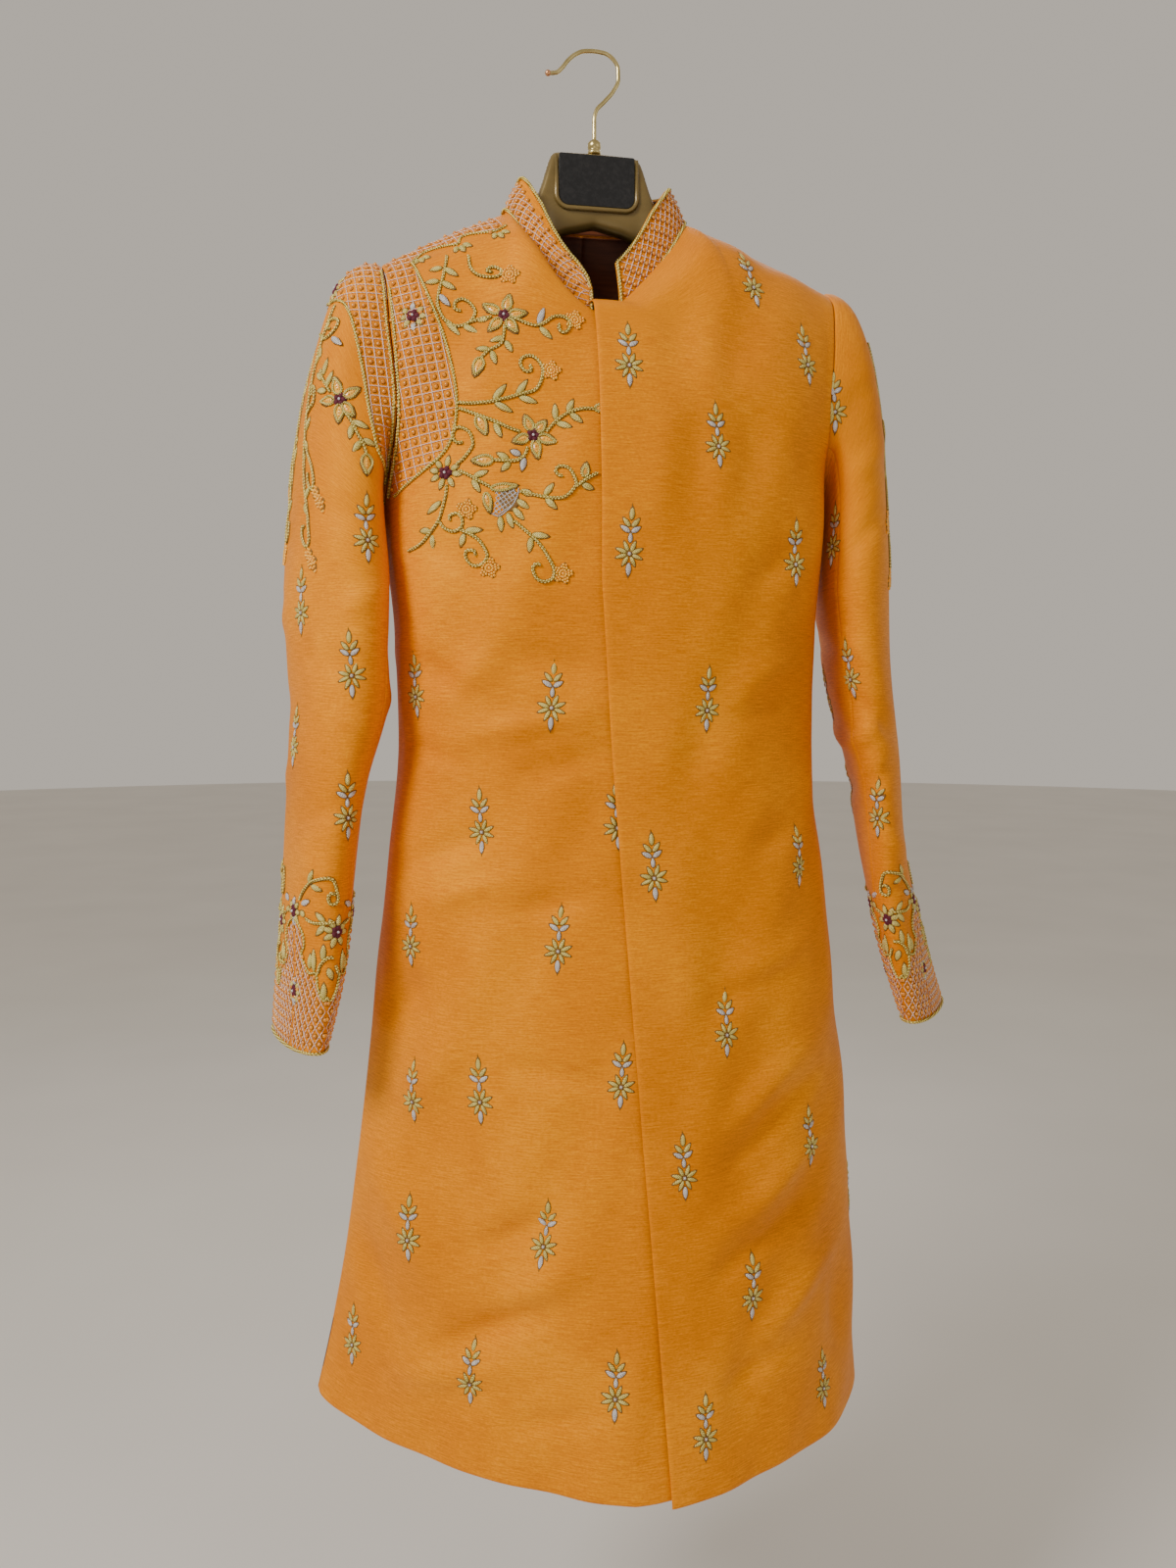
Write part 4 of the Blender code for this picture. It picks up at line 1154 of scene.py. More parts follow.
class Patch:
    """A shell's face as a place function, in metres from a seam and from its first row."""

    def __init__(self, grid, normal, zero_column):
        self.grid, self.normal = grid, normal
        across = np.linalg.norm(np.diff(grid, axis=1), axis=2)
        down = np.linalg.norm(np.diff(grid, axis=0), axis=2)
        self.s = np.concatenate([np.zeros((len(grid), 1)), across.cumsum(axis=1)], axis=1)
        self.s -= self.s[:, [zero_column]]
        self.t = np.concatenate([np.zeros((1, grid.shape[1])), down.cumsum(axis=0)])
        self.rows, self.columns = np.arange(grid.shape[0]), np.arange(grid.shape[1])

    def __call__(self, s, t):
        column = float(np.interp(s, self.s[len(self.rows) // 2], self.columns))
        for _ in range(4):
            c = min(int(column), len(self.columns) - 2)
            line = self.t[:, c] * (c + 1 - column) + self.t[:, c + 1] * (column - c)
            row = float(np.interp(t, line, self.rows))
            r = min(int(row), len(self.rows) - 2)
            line = self.s[r] * (r + 1 - row) + self.s[r + 1] * (row - r)
            column = float(np.interp(s, line, self.columns))
        c = min(int(column), len(self.columns) - 2)
        f, g = row - r, column - c
        spots = []
        for table in (self.grid, self.normal):
            low = table[r, c] * (1 - g) + table[r, c + 1] * g
            spots.append(low * (1 - f) + (table[r + 1, c] * (1 - g) + table[r + 1, c + 1] * g) * f)
        return spots[0], unit(spots[1])


def curve_through(points, step):
    """A smooth curve through a few points on the flat, sampled about a step apart."""
    points = np.asarray(points, float)
    if len(points) == 2:
        length = np.linalg.norm(points[1] - points[0])
        share = np.linspace(0, 1, max(2, round(length / step)) + 1)[:, None]
        return points[0] + (points[1] - points[0]) * share
    before, after = 2 * points[0] - points[1], 2 * points[-1] - points[-2]
    padded = np.concatenate([[before], points, [after]])
    t = np.linspace(0, 1, 13)[:-1, None]
    spans = []
    for a, b, c, d in zip(padded, padded[1:], padded[2:], padded[3:]):
        spans.append(
            0.5 * (2 * b + (c - a) * t + (2 * a - 5 * b + 4 * c - d) * t**2
                   + (3 * b - a - 3 * c + d) * t**3)
        )
    line = np.concatenate([*spans, [points[-1]]])
    walked = np.concatenate([[0], np.linalg.norm(np.diff(line, axis=0), axis=1).cumsum()])
    at = np.linspace(0, walked[-1], max(3, round(walked[-1] / step)) + 1)
    return np.stack([np.interp(at, walked, line[:, k]) for k in (0, 1)], axis=-1)


def sew_line(stitches, points, normals, thickness, material, strands=2, pitch=0.0052, sides=4):
    """A laid cord: one or more strands wound round a line that lies on the cloth."""
    points, normals = np.asarray(points), np.asarray(normals)
    gaps = np.linalg.norm(np.diff(points, axis=0), axis=1)
    apart = np.concatenate([[True], gaps > 0.00005])
    points, normals = points[apart], normals[apart]
    if len(points) < 2:
        return
    along = unit(np.gradient(points, axis=0))
    normals = unit(normals - along * (normals * along).sum(axis=1, keepdims=True))
    side = np.cross(along, normals)
    walked = np.concatenate([[0], np.linalg.norm(np.diff(points, axis=0), axis=1).cumsum()])
    off = 0.0 if strands == 1 else 0.24 * thickness
    radius = 0.5 * thickness if strands == 1 else 0.29 * thickness
    middle = points + normals * 0.30 * thickness
    for strand in range(strands):
        twist = (2 * np.pi * (walked / pitch + strand / strands))[:, None]
        centre = middle + off * (np.cos(twist) * side + np.sin(twist) * normals)
        turn = 2 * np.pi * np.arange(sides) / sides
        ring = side[:, None] * np.cos(turn)[:, None] + normals[:, None] * np.sin(turn)[:, None]
        taper = np.ones(len(points))
        taper[0] = taper[-1] = 0.55
        rings = centre[:, None] + radius * taper[:, None, None] * ring
        faces = [face[::-1] for face in ring_faces(len(points), sides)]
        uv = np.stack(
            np.broadcast_arrays(0.001 * np.arange(sides)[None, :], walked[:, None]), axis=-1
        )
        stitches.add(rings.reshape(-1, 3), faces, material, uv.reshape(-1, 2))


def ring_faces(rings, count):
    """The faces of a closed body swept through rings of points."""
    faces = [tuple(range(count))[::-1]]
    for r in range(rings - 1):
        for c in range(count):
            d = (c + 1) % count
            faces.append((r * count + c, r * count + d, (r + 1) * count + d, (r + 1) * count + c))
    faces.append(tuple((rings - 1) * count + c for c in range(count)))
    return faces


def sew(stitches, place, path, thickness, material, shadow=False, **cord):
    """A laid cord along a path in a place's own metres. With shadow, a flat brown cord sunk under it
    is painted shadow.
    """
    spots = [place(u, v) for u, v in curve_through(path, SEW_STEP)]
    points = np.array([spot[0] for spot in spots])
    normals = np.array([spot[1] for spot in spots])
    for _ in range(2):
        normals[1:-1] = (normals[:-2] + 2 * normals[1:-1] + normals[2:]) / 4
    if shadow:
        low = points - normals * 0.40 * thickness
        sew_line(stitches, low, normals, 1.16 * thickness, PAINTED_SHADOW_AND_THREAD, strands=1)
    sew_line(stitches, points, normals, thickness, material, **cord)


def stamp(stitches, place, shape, u, v, heading, length, width, height, material, lift=0.0):
    """One copy of a shape, from a foot along a heading clockwise from straight up."""
    du, dv = math.sin(math.radians(heading)), math.cos(math.radians(heading))
    foot, _ = place(u, v)
    tip, _ = place(u + du * length, v + dv * length)
    middle, normal = place(u + du * length / 2, v + dv * length / 2)
    if np.linalg.norm(tip - foot) < 0.1 * length:
        return
    along = unit(tip - foot)
    normal = unit(normal - along * (normal @ along))
    side = np.cross(along, normal)
    corners, faces = shape
    x, y, z = corners[:, [0]] * width, corners[:, [1]] * length, corners[:, [2]] * height
    points = middle + x * side + y * along + (z + lift) * normal
    uv = np.concatenate([np.abs(x), y], axis=1)
    stitches.add(points, faces, material, uv)


def dot(stitches, place, u, v, radius, height, material, lift=0.0, shape=DOT):
    """A round bead or knot with its middle on a spot."""
    width = 2 * radius
    stamp(stitches, place, shape, u, v - radius, 0, width, width, height, material, lift)


def leaf(stitches, place, u, v, heading, length, width, material, height):
    """A satin-stitched leaf over a wider flat brown leaf, which is painted shadow round it."""
    du, dv = math.sin(math.radians(heading)), math.cos(math.radians(heading))
    stamp(
        stitches, place, LEAF_SHADOW, u - du * SHADOW_MARGIN, v - dv * SHADOW_MARGIN, heading,
        length + 3 * SHADOW_MARGIN, width + 0.0012, SHADOW_HEIGHT, PAINTED_SHADOW_AND_THREAD,
    )
    stamp(stitches, place, LEAF, u, v, heading, length, width, height, material)


# A sprig: metal, foot across and up, heading, length and width, in millimetres
SPRIG = [
    (GOLD, 1.2, -9.0, 22, 9.5, 3.2),
    (GOLD, 2.2, -10.3, 64, 10.0, 3.2),
    (GOLD, 2.2, -11.8, 108, 9.5, 3.0),
    (GOLD, 1.2, -13.2, 152, 9.0, 3.0),
    (GOLD, -1.2, -13.2, -152, 9.5, 3.0),
    (GOLD, -2.2, -11.8, -110, 10.0, 3.0),
    (GOLD, -2.2, -10.3, -72, 10.0, 3.2),
    (GOLD, -1.2, -9.0, -26, 9.0, 3.2),
    (SILVER, 0.0, -18.5, 180, 11.5, 4.0),
    (SILVER, 0.0, -1.8, 0, 8.6, 3.4),
    (SILVER, 0.6, 7.2, 57, 9.0, 3.8),
    (SILVER, -0.6, 7.2, -60, 9.6, 3.8),
    (GOLD, 0.8, 11.8, 40, 9.4, 3.5),
    (GOLD, -0.8, 11.8, -42, 9.4, 3.5),
    (GOLD, 0.0, 17.4, 2, 11.0, 3.9),
]
SPRIG_FULLNESS = 1.22
# The dark threads past a sprig's ends: foot across and up, heading and length
SPRIG_TIPS = [(0.0, 28.5, 0, 3.5), (0.0, -30.0, 180, 2.5)]


def sprig(stitches, place, size):
    """One sprig: its leaves and eight-leaved flower, and the bead in the middle of it."""
    scale = 0.001 * size
    for metal, across, up, heading, length, width in SPRIG:
        leaf(
            stitches, place, across * scale, up * scale, heading, length * scale,
            SPRIG_FULLNESS * width * scale, metal, 0.0016,
        )
    for across, up, heading, length in SPRIG_TIPS:
        stamp(
            stitches, place, LEAF_SHADOW, across * scale, up * scale, heading, length * scale,
            0.9 * scale, 0.0005, PAINTED_SHADOW_AND_THREAD,
        )
    # A wider dark brown dot under the bead is painted shade round it.
    dot(stitches, place, 0, -11 * scale, 0.0027 * size, 0.0009, PAINTED_SHADOW_AND_THREAD)
    dot(stitches, place, 0, -11 * scale, 0.0017 * size, 0.0022, SILVER)


def sprigs(name, ground, view, places):
    """A panel's sprigs, each turned and sized a little differently, as by hand."""
    stitches = Stitches()
    for order, (x, z) in enumerate(places):
        turn = 3.5 * math.sin(2.4 * order + len(name))
        size = 1 + 0.03 * math.sin(1.7 * order)
        across = x if view == "front" else -x
        place = ground.motif_place(view, 0.001 * across, 0.001 * z, turn)
        sprig(stitches, place, size)
    stitches.finish(name)


def petal(stitches, place, u, v, heading, length, width, outline=0.0031):
    """A petal or bud: a bead-filled pad inside a loop of twisted gold purl."""
    angle = math.radians(heading)
    loop = []
    for share in (0.0, 0.12, 0.32, 0.56, 0.80, 1.0):
        half = 0.5 * (width - outline) * math.sin(math.pi * share**0.72) ** 1.1 if share < 1 else 0
        loop.append((share * (length - 0.5 * outline), half))
    outline_path = loop + [(a, -h) for a, h in loop[-2::-1]]
    path = []
    for a, h in outline_path:
        path.append((u + a * math.sin(angle) + h * math.cos(angle),
                     v + a * math.cos(angle) - h * math.sin(angle)))
    # A wider flat brown leaf under the petal is painted shadow round it.
    stamp(
        stitches, place, LEAF_SHADOW, u - SHADOW_MARGIN * math.sin(angle),
        v - SHADOW_MARGIN * math.cos(angle), heading, length + 3 * SHADOW_MARGIN, width * 1.10,
        SHADOW_HEIGHT, PAINTED_SHADOW_AND_THREAD,
    )
    stamp(stitches, place, LEAF_SHADOW, u, v, heading, length * 0.92, width * 0.66, 0.0012, SEED)
    for share in (0.30, 0.45, 0.60):
        a = share * length
        dot(stitches, place, u + a * math.sin(angle), v + a * math.cos(angle), 0.0012, 0.0024, SEED)
    sew(stitches, place, path, outline, GOLD, pitch=0.0040)


def flower(stitches, place, u, v, petals):
    """An open flower: purl petals, a knotted burgundy middle and a crystal."""
    for heading, length in petals:
        angle = math.radians(heading)
        start = 0.0042
        petal(
            stitches, place, u + start * math.sin(angle), v + start * math.cos(angle), heading,
            0.00106 * length - start, 0.0104,
        )
    flower_middle(stitches, place, u, v)


def small_flower(stitches, place, u, v, petals):
    """A flower of short leaves: heading, length and metal of each."""
    for heading, length, metal in petals:
        angle = math.radians(heading)
        leaf(
            stitches, place, u + 0.0048 * math.sin(angle), v + 0.0048 * math.cos(angle), heading,
            0.001 * length, 0.0056, metal, 0.0020,
        )
    flower_middle(stitches, place, u, v)


def flower_middle(stitches, place, u, v):
    for turn in range(5):
        angle = math.radians(72 * turn + 20)
        dot(
            stitches, place, u + 0.0034 * math.sin(angle), v + 0.0034 * math.cos(angle), 0.0029,
            0.0026, VELVET, shape=KNOT,
        )
    dot(stitches, place, u, v, 0.0030, 0.0027, VELVET)
    dot(stitches, place, u, v, 0.0013, 0.0015, CRYSTAL, lift=0.0022, shape=KNOT)


# Each petal of a bud floret: rows of seed beads at a reach from the middle
CLUSTER_ROWS = [
    (0.0028, (-0.0010, 0.0010)),
    (0.0052, (-0.0022, 0.0, 0.0022)),
    (0.0076, (-0.0012, 0.0012)),
]


def cluster(stitches, place, u, v):
    """A floret of five petals filled with orange seed beads."""
    dot(stitches, place, u, v, 0.0018, 0.0026, SEED)
    for turn in range(5):
        angle = math.radians(72 * turn + 12)
        across, up = math.sin(angle), math.cos(angle)
        # Flat brown leaves under the petals are painted shade between the beads.
        stamp(
            stitches, place, LEAF_SHADOW, u, v, 72 * turn + 12, 0.0100, 0.0086, 0.0006, PAINTED_SHADOW_AND_THREAD
        )
        for reach, asides in CLUSTER_ROWS:
            for aside in asides:
                dot(
                    stitches, place, u + reach * across + aside * up,
                    v + reach * up - aside * across, 0.00140, 0.0024, SEED,
                )


def inside(outline, points):
    """Which points lie inside an outline, by counting the edges that a level line crosses."""
    x, y = points[:, 0], points[:, 1]
    count = np.zeros(len(points), int)
    for (x0, y0), (x1, y1) in zip(outline, np.roll(outline, -1, axis=0)):
        spans = (y0 > y) != (y1 > y)
        rise = y1 - y0 if y1 != y0 else 1e-12
        count += spans & (x < (x1 - x0) * (y - y0) / rise + x0)
    return count % 2 == 1


def lattice(stitches, place, outline, turns, cell, line=0.0012, bead=0.0021, material=PEARL):
    """Crossing pearl lines over a region, with an amber bead in each cell."""
    outline = np.asarray(outline, float)
    middle, reach = outline.mean(axis=0), np.ptp(outline, axis=0).max()
    angles = [math.radians(turn) for turn in turns]
    directions = [np.array([math.cos(angle), math.sin(angle)]) for angle in angles]
    widen = 1 / abs(math.sin(angles[1] - angles[0]))
    step = cell / 2 * widen
    count = int(reach / cell) + 2
    for first, second in (directions, directions[::-1]):
        for k in range(-count, count + 1):
            at = np.arange(-2 * count, 2 * count + 1)[:, None] * step
            points = middle + second * k * cell * widen + first * at
            keep = inside(outline, points)
            runs = np.split(np.arange(len(points)), np.flatnonzero(np.diff(keep.astype(int))) + 1)
            for run in runs:
                if len(run) < 2 or not keep[run[0]]:
                    continue
                spots = [place(*point) for point in points[run]]
                centres, normals = [spot[0] for spot in spots], [spot[1] for spot in spots]
                sew_line(stitches, centres, normals, line, material, strands=1)
    if bead <= 0:
        return
    halves = np.arange(-count, count + 1) + 0.5
    across, up = np.meshgrid(halves, halves)
    centres = middle + (
        directions[0] * across.reshape(-1, 1) + directions[1] * up.reshape(-1, 1)
    ) * cell * widen
    shrunk = middle + (outline - middle) * (1 - 0.004 / reach)
    for u, v in centres[inside(shrunk, centres)]:
        # A wider brown dot under each bead is painted shade round it.
        dot(stitches, place, u, v, bead * 1.25, 0.0005, PAINTED_SHADOW_AND_THREAD)
        dot(stitches, place, u, v, bead, 0.0026, AMBER)


# Sprig places, x and height in millimetres
SPRIGS_RIGHT = [
    (-176, -591), (-61, -600), (-122, -711), (-183, -819), (-57, -814), (-126, -952), (-4, -934),
    (-224, -959), (-190, -1086), (-71, -1077), (-241, -1209), (-138, -1208), (-14, -1206),
    (-5, -706),
]
SPRIGS_LEFT = [
    (131, -219), (8, -304), (184, -286), (87, -371), (5, -467), (170, -469), (79, -603),
    (179, -751), (26, -750), (95, -895), (188, -1017), (50, -1016), (119, -1138), (262, -1105),
    (203, -1256), (67, -1250),
]
SPRIGS_SLEEVE_RIGHT = [(-218, -454), (-276, -515), (-233, -572), (-284, -637), (-238, -697)]
SPRIGS_SLEEVE_LEFT = [(219, -323), (228, -446), (240, -575), (268, -710)]
BACK_ROW_TOP, BACK_ROW_STEP, BACK_COLUMN_STEP = -330, 118, 82


def back_sprig_places():
    """The back's sprigs, in half-drop rows."""
    places = []
    for row in range(8):
        z = BACK_ROW_TOP - row * BACK_ROW_STEP
        for column in (-2, 0, 2) if row % 2 else (-1, 1):
            places.append((column * BACK_COLUMN_STEP + 8, z))
    return places


def sleeve_back_places(side):
    """The sprigs on the back of a sleeve, side being -1 on the right one."""
    return [(side * 232, -400), (side * 262, -500), (side * 246, -600), (side * 285, -700)]


# Cords, leaves, flowers and bud florets of the front, read off in millimetres
VINE_STEMS = [
    [(-144, -213), (-148, -232), (-152, -246), (-154, -260), (-149, -273), (-141, -279),
     (-133, -279), (-126, -275), (-122, -267), (-126, -259), (-133, -255), (-139, -258),
     (-139, -264), (-134, -266)],
    [(-129, -277), (-119, -274), (-108, -272)],
    [(-89, -274), (-77, -279), (-70, -280), (-63, -277), (-56, -272), (-49, -271), (-44, -273),
     (-41, -278), (-44, -284), (-48, -286), (-51, -283), (-51, -278)],
    [(-98, -280), (-99, -289), (-101, -296), (-106, -300), (-112, -303), (-119, -310)],
    [(-139, -348), (-130, -349), (-118, -349), (-110, -348), (-98, -345), (-84, -341), (-74, -338),
     (-69, -330), (-67, -320), (-71, -312), (-77, -308), (-84, -310), (-86, -316), (-82, -322),
     (-77, -321), (-78, -316)],
    [(-138, -353), (-123, -359), (-109, -365), (-96, -371), (-87, -374)],
    [(-65, -374), (-57, -365), (-45, -357), (-33, -354), (-24, -354)],
    [(-81, -387), (-84, -394), (-89, -398), (-96, -399), (-110, -398)],
    [(-141, -401), (-135, -396), (-128, -387), (-127, -381), (-130, -373), (-138, -369),
     (-143, -372), (-143, -378), (-140, -382), (-135, -382)],
    [(-139, -406), (-128, -412), (-122, -416), (-113, -421)],
    [(-88, -425), (-76, -428), (-68, -430), (-59, -431), (-51, -430), (-44, -424), (-41, -418),
     (-44, -410), (-48, -405), (-55, -404), (-58, -408), (-55, -412), (-52, -412)],
    [(-41, -421), (-33, -415), (-22, -409)],
    [(-93, -450), (-82, -460), (-73, -469), (-66, -479), (-60, -491), (-61, -499), (-68, -502),
     (-75, -499), (-78, -491), (-75, -487), (-71, -488)],
    [(-149, -418), (-150, -427), (-153, -439), (-156, -448), (-163, -458), (-171, -467),
     (-181, -472)],
    [(-155, -449), (-151, -455), (-143, -458), (-137, -454), (-137, -447), (-141, -443),
     (-147, -445), (-146, -449)],
    [(-138, -457), (-130, -461), (-123, -466), (-117, -475), (-116, -481), (-121, -487),
     (-128, -487), (-133, -481), (-133, -475), (-127, -475), (-125, -479)],
    [(-126, -214), (-125, -225), (-120, -232), (-111, -235), (-102, -235), (-98, -231),
     (-102, -227), (-107, -226), (-111, -229), (-106, -231)],
]
# Leaves: foot x and height, heading, length, metal
VINE_LEAVES = [
    (-148, -225, -95, 11, GOLD), (-148, -225, 125, 14, GOLD),
    (-151, -238, -90, 12, GOLD), (-151, -238, 122, 14, GOLD),
    (-153, -250, 140, 14, SILVER), (-149, -272, 140, 20, GOLD), (-134, -278, 120, 15, GOLD),
    (-121, -275, 78, 11, GOLD), (-69, -279, 20, 15, SILVER), (-68, -281, 137, 14, GOLD),
    (-98, -291, -105, 12, GOLD), (-98, -294, 152, 11, GOLD),
    (-111, -302, -85, 11, GOLD), (-110, -303, 165, 12, GOLD),
    (-110, -347, 40, 16, GOLD), (-109, -349, 118, 16, GOLD),
    (-90, -343, 35, 15, GOLD), (-88, -344, 108, 15, GOLD),
    (-109, -366, 156, 13, GOLD), (-57, -364, -2, 13, GOLD), (-57, -366, 107, 13, GOLD),
    (-47, -357, 25, 11, GOLD), (-45, -358, 128, 12, GOLD),
    (-87, -394, -68, 9, SILVER), (-84, -396, -169, 11, SILVER),
    (-97, -398, -60, 11, GOLD), (-96, -400, -135, 10, GOLD),
    (-127, -412, 69, 12, GOLD), (-128, -414, 151, 12, GOLD),
    (-88, -424, 110, 12, GOLD), (-91, -432, 126, 12, GOLD), (-94, -439, 138, 13, GOLD),
    (-99, -443, 159, 13, GOLD), (-105, -446, 175, 12, GOLD),
    (-68, -429, 37, 12, GOLD), (-67, -431, 135, 12, GOLD), (-36, -419, 112, 10, GOLD),
    (-79, -462, 97, 14, GOLD), (-79, -464, -172, 12, GOLD),
    (-153, -431, -130, 16, GOLD), (-161, -456, -88, 11, GOLD), (-161, -459, 178, 12, GOLD),
    (-135, -458, 88, 14, GOLD), (-135, -460, -165, 11, GOLD),
    (-168, -209, 150, 9, GOLD), (-166, -209, 110, 9, GOLD), (-169, -210, 190, 7, GOLD),
    (-133, -202, 152, 9, GOLD), (-131, -201, 112, 9, GOLD), (-135, -203, 195, 7, GOLD),
    (-99, -189, 152, 9, GOLD), (-97, -188, 112, 9, GOLD), (-101, -190, 195, 7, GOLD),
]
# Buds: foot x and height, heading, length, width
VINE_BUDS = [
    (-119, -310, -160, 17, 10), (-123, -360, 155, 18, 10), (-24, -354, 80, 13, 8),
    (-110, -398, -90, 18, 10), (-34, -413, 10, 12, 7.5),
]
VINE_CLUSTERS = [
    (-92, -234), (-37, -274), (-60, -321), (-52, -495), (-133, -440), (-114, -490),
]
SMALL_PETALS = [
    (12, 10, GOLD), (62, 8, GOLD), (98, 9, GOLD), (152, 9, GOLD), (200, 10, GOLD),
    (245, 9, GOLD), (285, 9, GOLD), (325, 9, GOLD),
]
LATTICE_PETALS = [
    (0, 8, SILVER), (50, 7, GOLD), (95, 7, GOLD), (140, 7, GOLD), (180, 9, SILVER),
    (220, 8, GOLD), (265, 7, GOLD), (310, 7, GOLD),
]


def millimetres(points):
    return [(0.001 * x, 0.001 * z) for x, z in points]


def sew_vine(stitches, place, stems, leaves, buds=(), clusters=()):
    """Stems, leaves, buds and bud florets from tables in millimetres."""
    for stem in stems:
        sew(stitches, place, millimetres(stem), STEM_CORD, CORD, shadow=True)
    for x, z, heading, length, metal in leaves:
        leaf(
            stitches, place, 0.001 * x, 0.001 * z, heading, 0.00108 * length, 0.0060, metal,
            0.0020,
        )
    for x, z, heading, length, width in buds:
        petal(stitches, place, 0.001 * x, 0.001 * z, heading, 0.00105 * length, 0.00115 * width)
    for x, z in clusters:
        cluster(stitches, place, 0.001 * x, 0.001 * z)


def half_flower(stitches, place):
    """The half-opened flower: two broad petals round a basket-woven silver half disc."""
    rim = [(-89, -422), (-90, -428), (-94, -436), (-100, -442), (-106, -446), (-112, -444)]
    basket = millimetres([*rim, (-110, -436), (-109, -428), (-110, -423)])
    # A flat brown leaf under the basket and petals is painted shadow.
    stamp(stitches, place, LEAF_SHADOW, -0.1015, -0.4415, 28, 0.020, 0.021, 0.0007, PAINTED_SHADOW_AND_THREAD)
    lattice(stitches, place, basket, (35, 125), 0.0032, 0.0011, 0, SILVER)
    sew(stitches, place, millimetres(rim), 0.0017, SILVER, pitch=0.003)
    petal(stitches, place, -0.113, -0.4225, 84, 0.024, 0.0085)
    petal(stitches, place, -0.117, -0.4260, 168, 0.018, 0.0090)


fronts = Ground("front_right")
vine = Stitches()
front_view = fronts.seen_from("front")
sew_vine(vine, front_view, VINE_STEMS, VINE_LEAVES, VINE_BUDS, VINE_CLUSTERS)
flower(vine, front_view, -0.098, -0.271, [(17, 19), (84, 19), (147, 19), (-137, 19), (-58, 20)])
flower(vine, front_view, -0.076, -0.377, [(-22, 18), (41, 16), (107, 20), (169, 20), (-108, 18)])
small_flower(vine, front_view, -0.150, -0.4075, SMALL_PETALS)
half_flower(vine, front_view)
vine.finish("vines_front_right")

sprigs("sprigs_front_right", fronts, "front", SPRIGS_RIGHT)
sprigs("sprigs_front_left", Ground("front_left"), "front", SPRIGS_LEFT)
sprigs("sprigs_back", Ground("back_left", "back_right"), "back", back_sprig_places())
for name, shown in (("right", SPRIGS_SLEEVE_RIGHT), ("left", SPRIGS_SLEEVE_LEFT)):
    ground = Ground("sleeve_" + name)
    sprigs(f"sprigs_sleeve_{name}", ground, "front", shown)
    sprigs(f"sprigs_sleeve_{name}_back", ground, "back", sleeve_back_places(SLEEVE_SIDE[name]))

# Borders of the shoulder lattice, x and height in millimetres
SHOULDER_BORDER = [
    (-90, -181), (-98, -187), (-103, -189), (-113, -189.5), (-125, -190), (-131, -193),
    (-134, -201), (-141, -201), (-148, -200.5), (-161, -202), (-169, -209), (-174, -215),
]
ARMHOLE_BORDER = [
    (-174, -215), (-166, -238), (-159, -259), (-150, -287), (-144, -313), (-140.5, -335),
    (-140, -355), (-142, -369), (-145, -380), (-152, -391), (-161, -399), (-179, -412),
    (-192, -422),
]
SLEEVE_BORDER = [
    (-185, -423), (-196, -407), (-207, -386), (-211, -368), (-215, -346), (-218, -323),
    (-221, -305), (-225, -283), (-229, -266), (-234, -254), (-241, -247), (-249, -245),
]
CELL = 0.0084
LATTICE_TURNS = (8, 100)
CAP_TURNS = (-3, 96)


def smoothed(points):
    return curve_through(points, BORDER_STEP)


def seam_in_view(name, from_height, to_height):
    """The armhole seam of a right-hand body panel, as x and height."""
    column = {"front_right": 0, "back_right": -1}[name]
    line = CLOTHS[name][0][:, column][:, [0, 2]]
    kept = line[(line[:, 1] > from_height) & (line[:, 1] < to_height)]
    return kept[::4]


def shoulder_lattice(name, panel, view, view_sign):
    """The body's share of the shoulder lattice: between its borders and the armhole seam."""
    stitches = Stitches()
    ground = Ground(panel)
    seen = ground.seen_from(view)

    def place(x, z):
        return seen(view_sign * x, z)

    top_row = CLOTHS[panel][0][-1]
    seam = top_row[(top_row[:, 0] < -0.088) & (top_row[:, 0] > -0.197)][:, [0, 2]]
    shoulder_line = sorted(seam.tolist(), key=lambda spot: spot[0])[::3]
    borders = [millimetres(SHOULDER_BORDER), millimetres(ARMHOLE_BORDER)]
    rim = np.concatenate([smoothed(borders[0]), smoothed(borders[1])])
    armhole = seam_in_view(panel, -0.424, -0.210)
    outline = [*rim.tolist(), *armhole.tolist(), *shoulder_line]
    lattice(stitches, place, outline, LATTICE_TURNS, CELL)
    for border, thickness in zip(borders, (THIN_BORDER_CORD, BORDER_CORD)):
        sew(stitches, place, border, thickness, CORD)
    inner = [(x + SEAM_CORD_INSET, z) for x, z in armhole.tolist()]
    sew(stitches, place, inner[::3], BORDER_CORD, CORD)
    if view == "front":
        small_flower(stitches, place, -0.175, -0.269, LATTICE_PETALS)
    stitches.finish(name)


shoulder_lattice("lattice_front_right", "front_right", "front", 1)
shoulder_lattice("lattice_back_right", "back_right", "back", -1)

SLEEVES = {}
for name in SLEEVE_SIDE:
    grid, normal, degrees = CLOTHS["sleeve_" + name]
    top = int(np.argmin(np.abs(degrees - 180)))
    SLEEVES[name] = Patch(grid, normal, top)
    SLEEVES["cuff_" + name] = Patch(grid[::-1], normal[::-1], top)

sleeve_ground = Ground("sleeve_right")
cap_ring = CLOTHS["sleeve_right"][0][0]
cap_top = cap_ring[np.argmax(cap_ring[:, 2])]


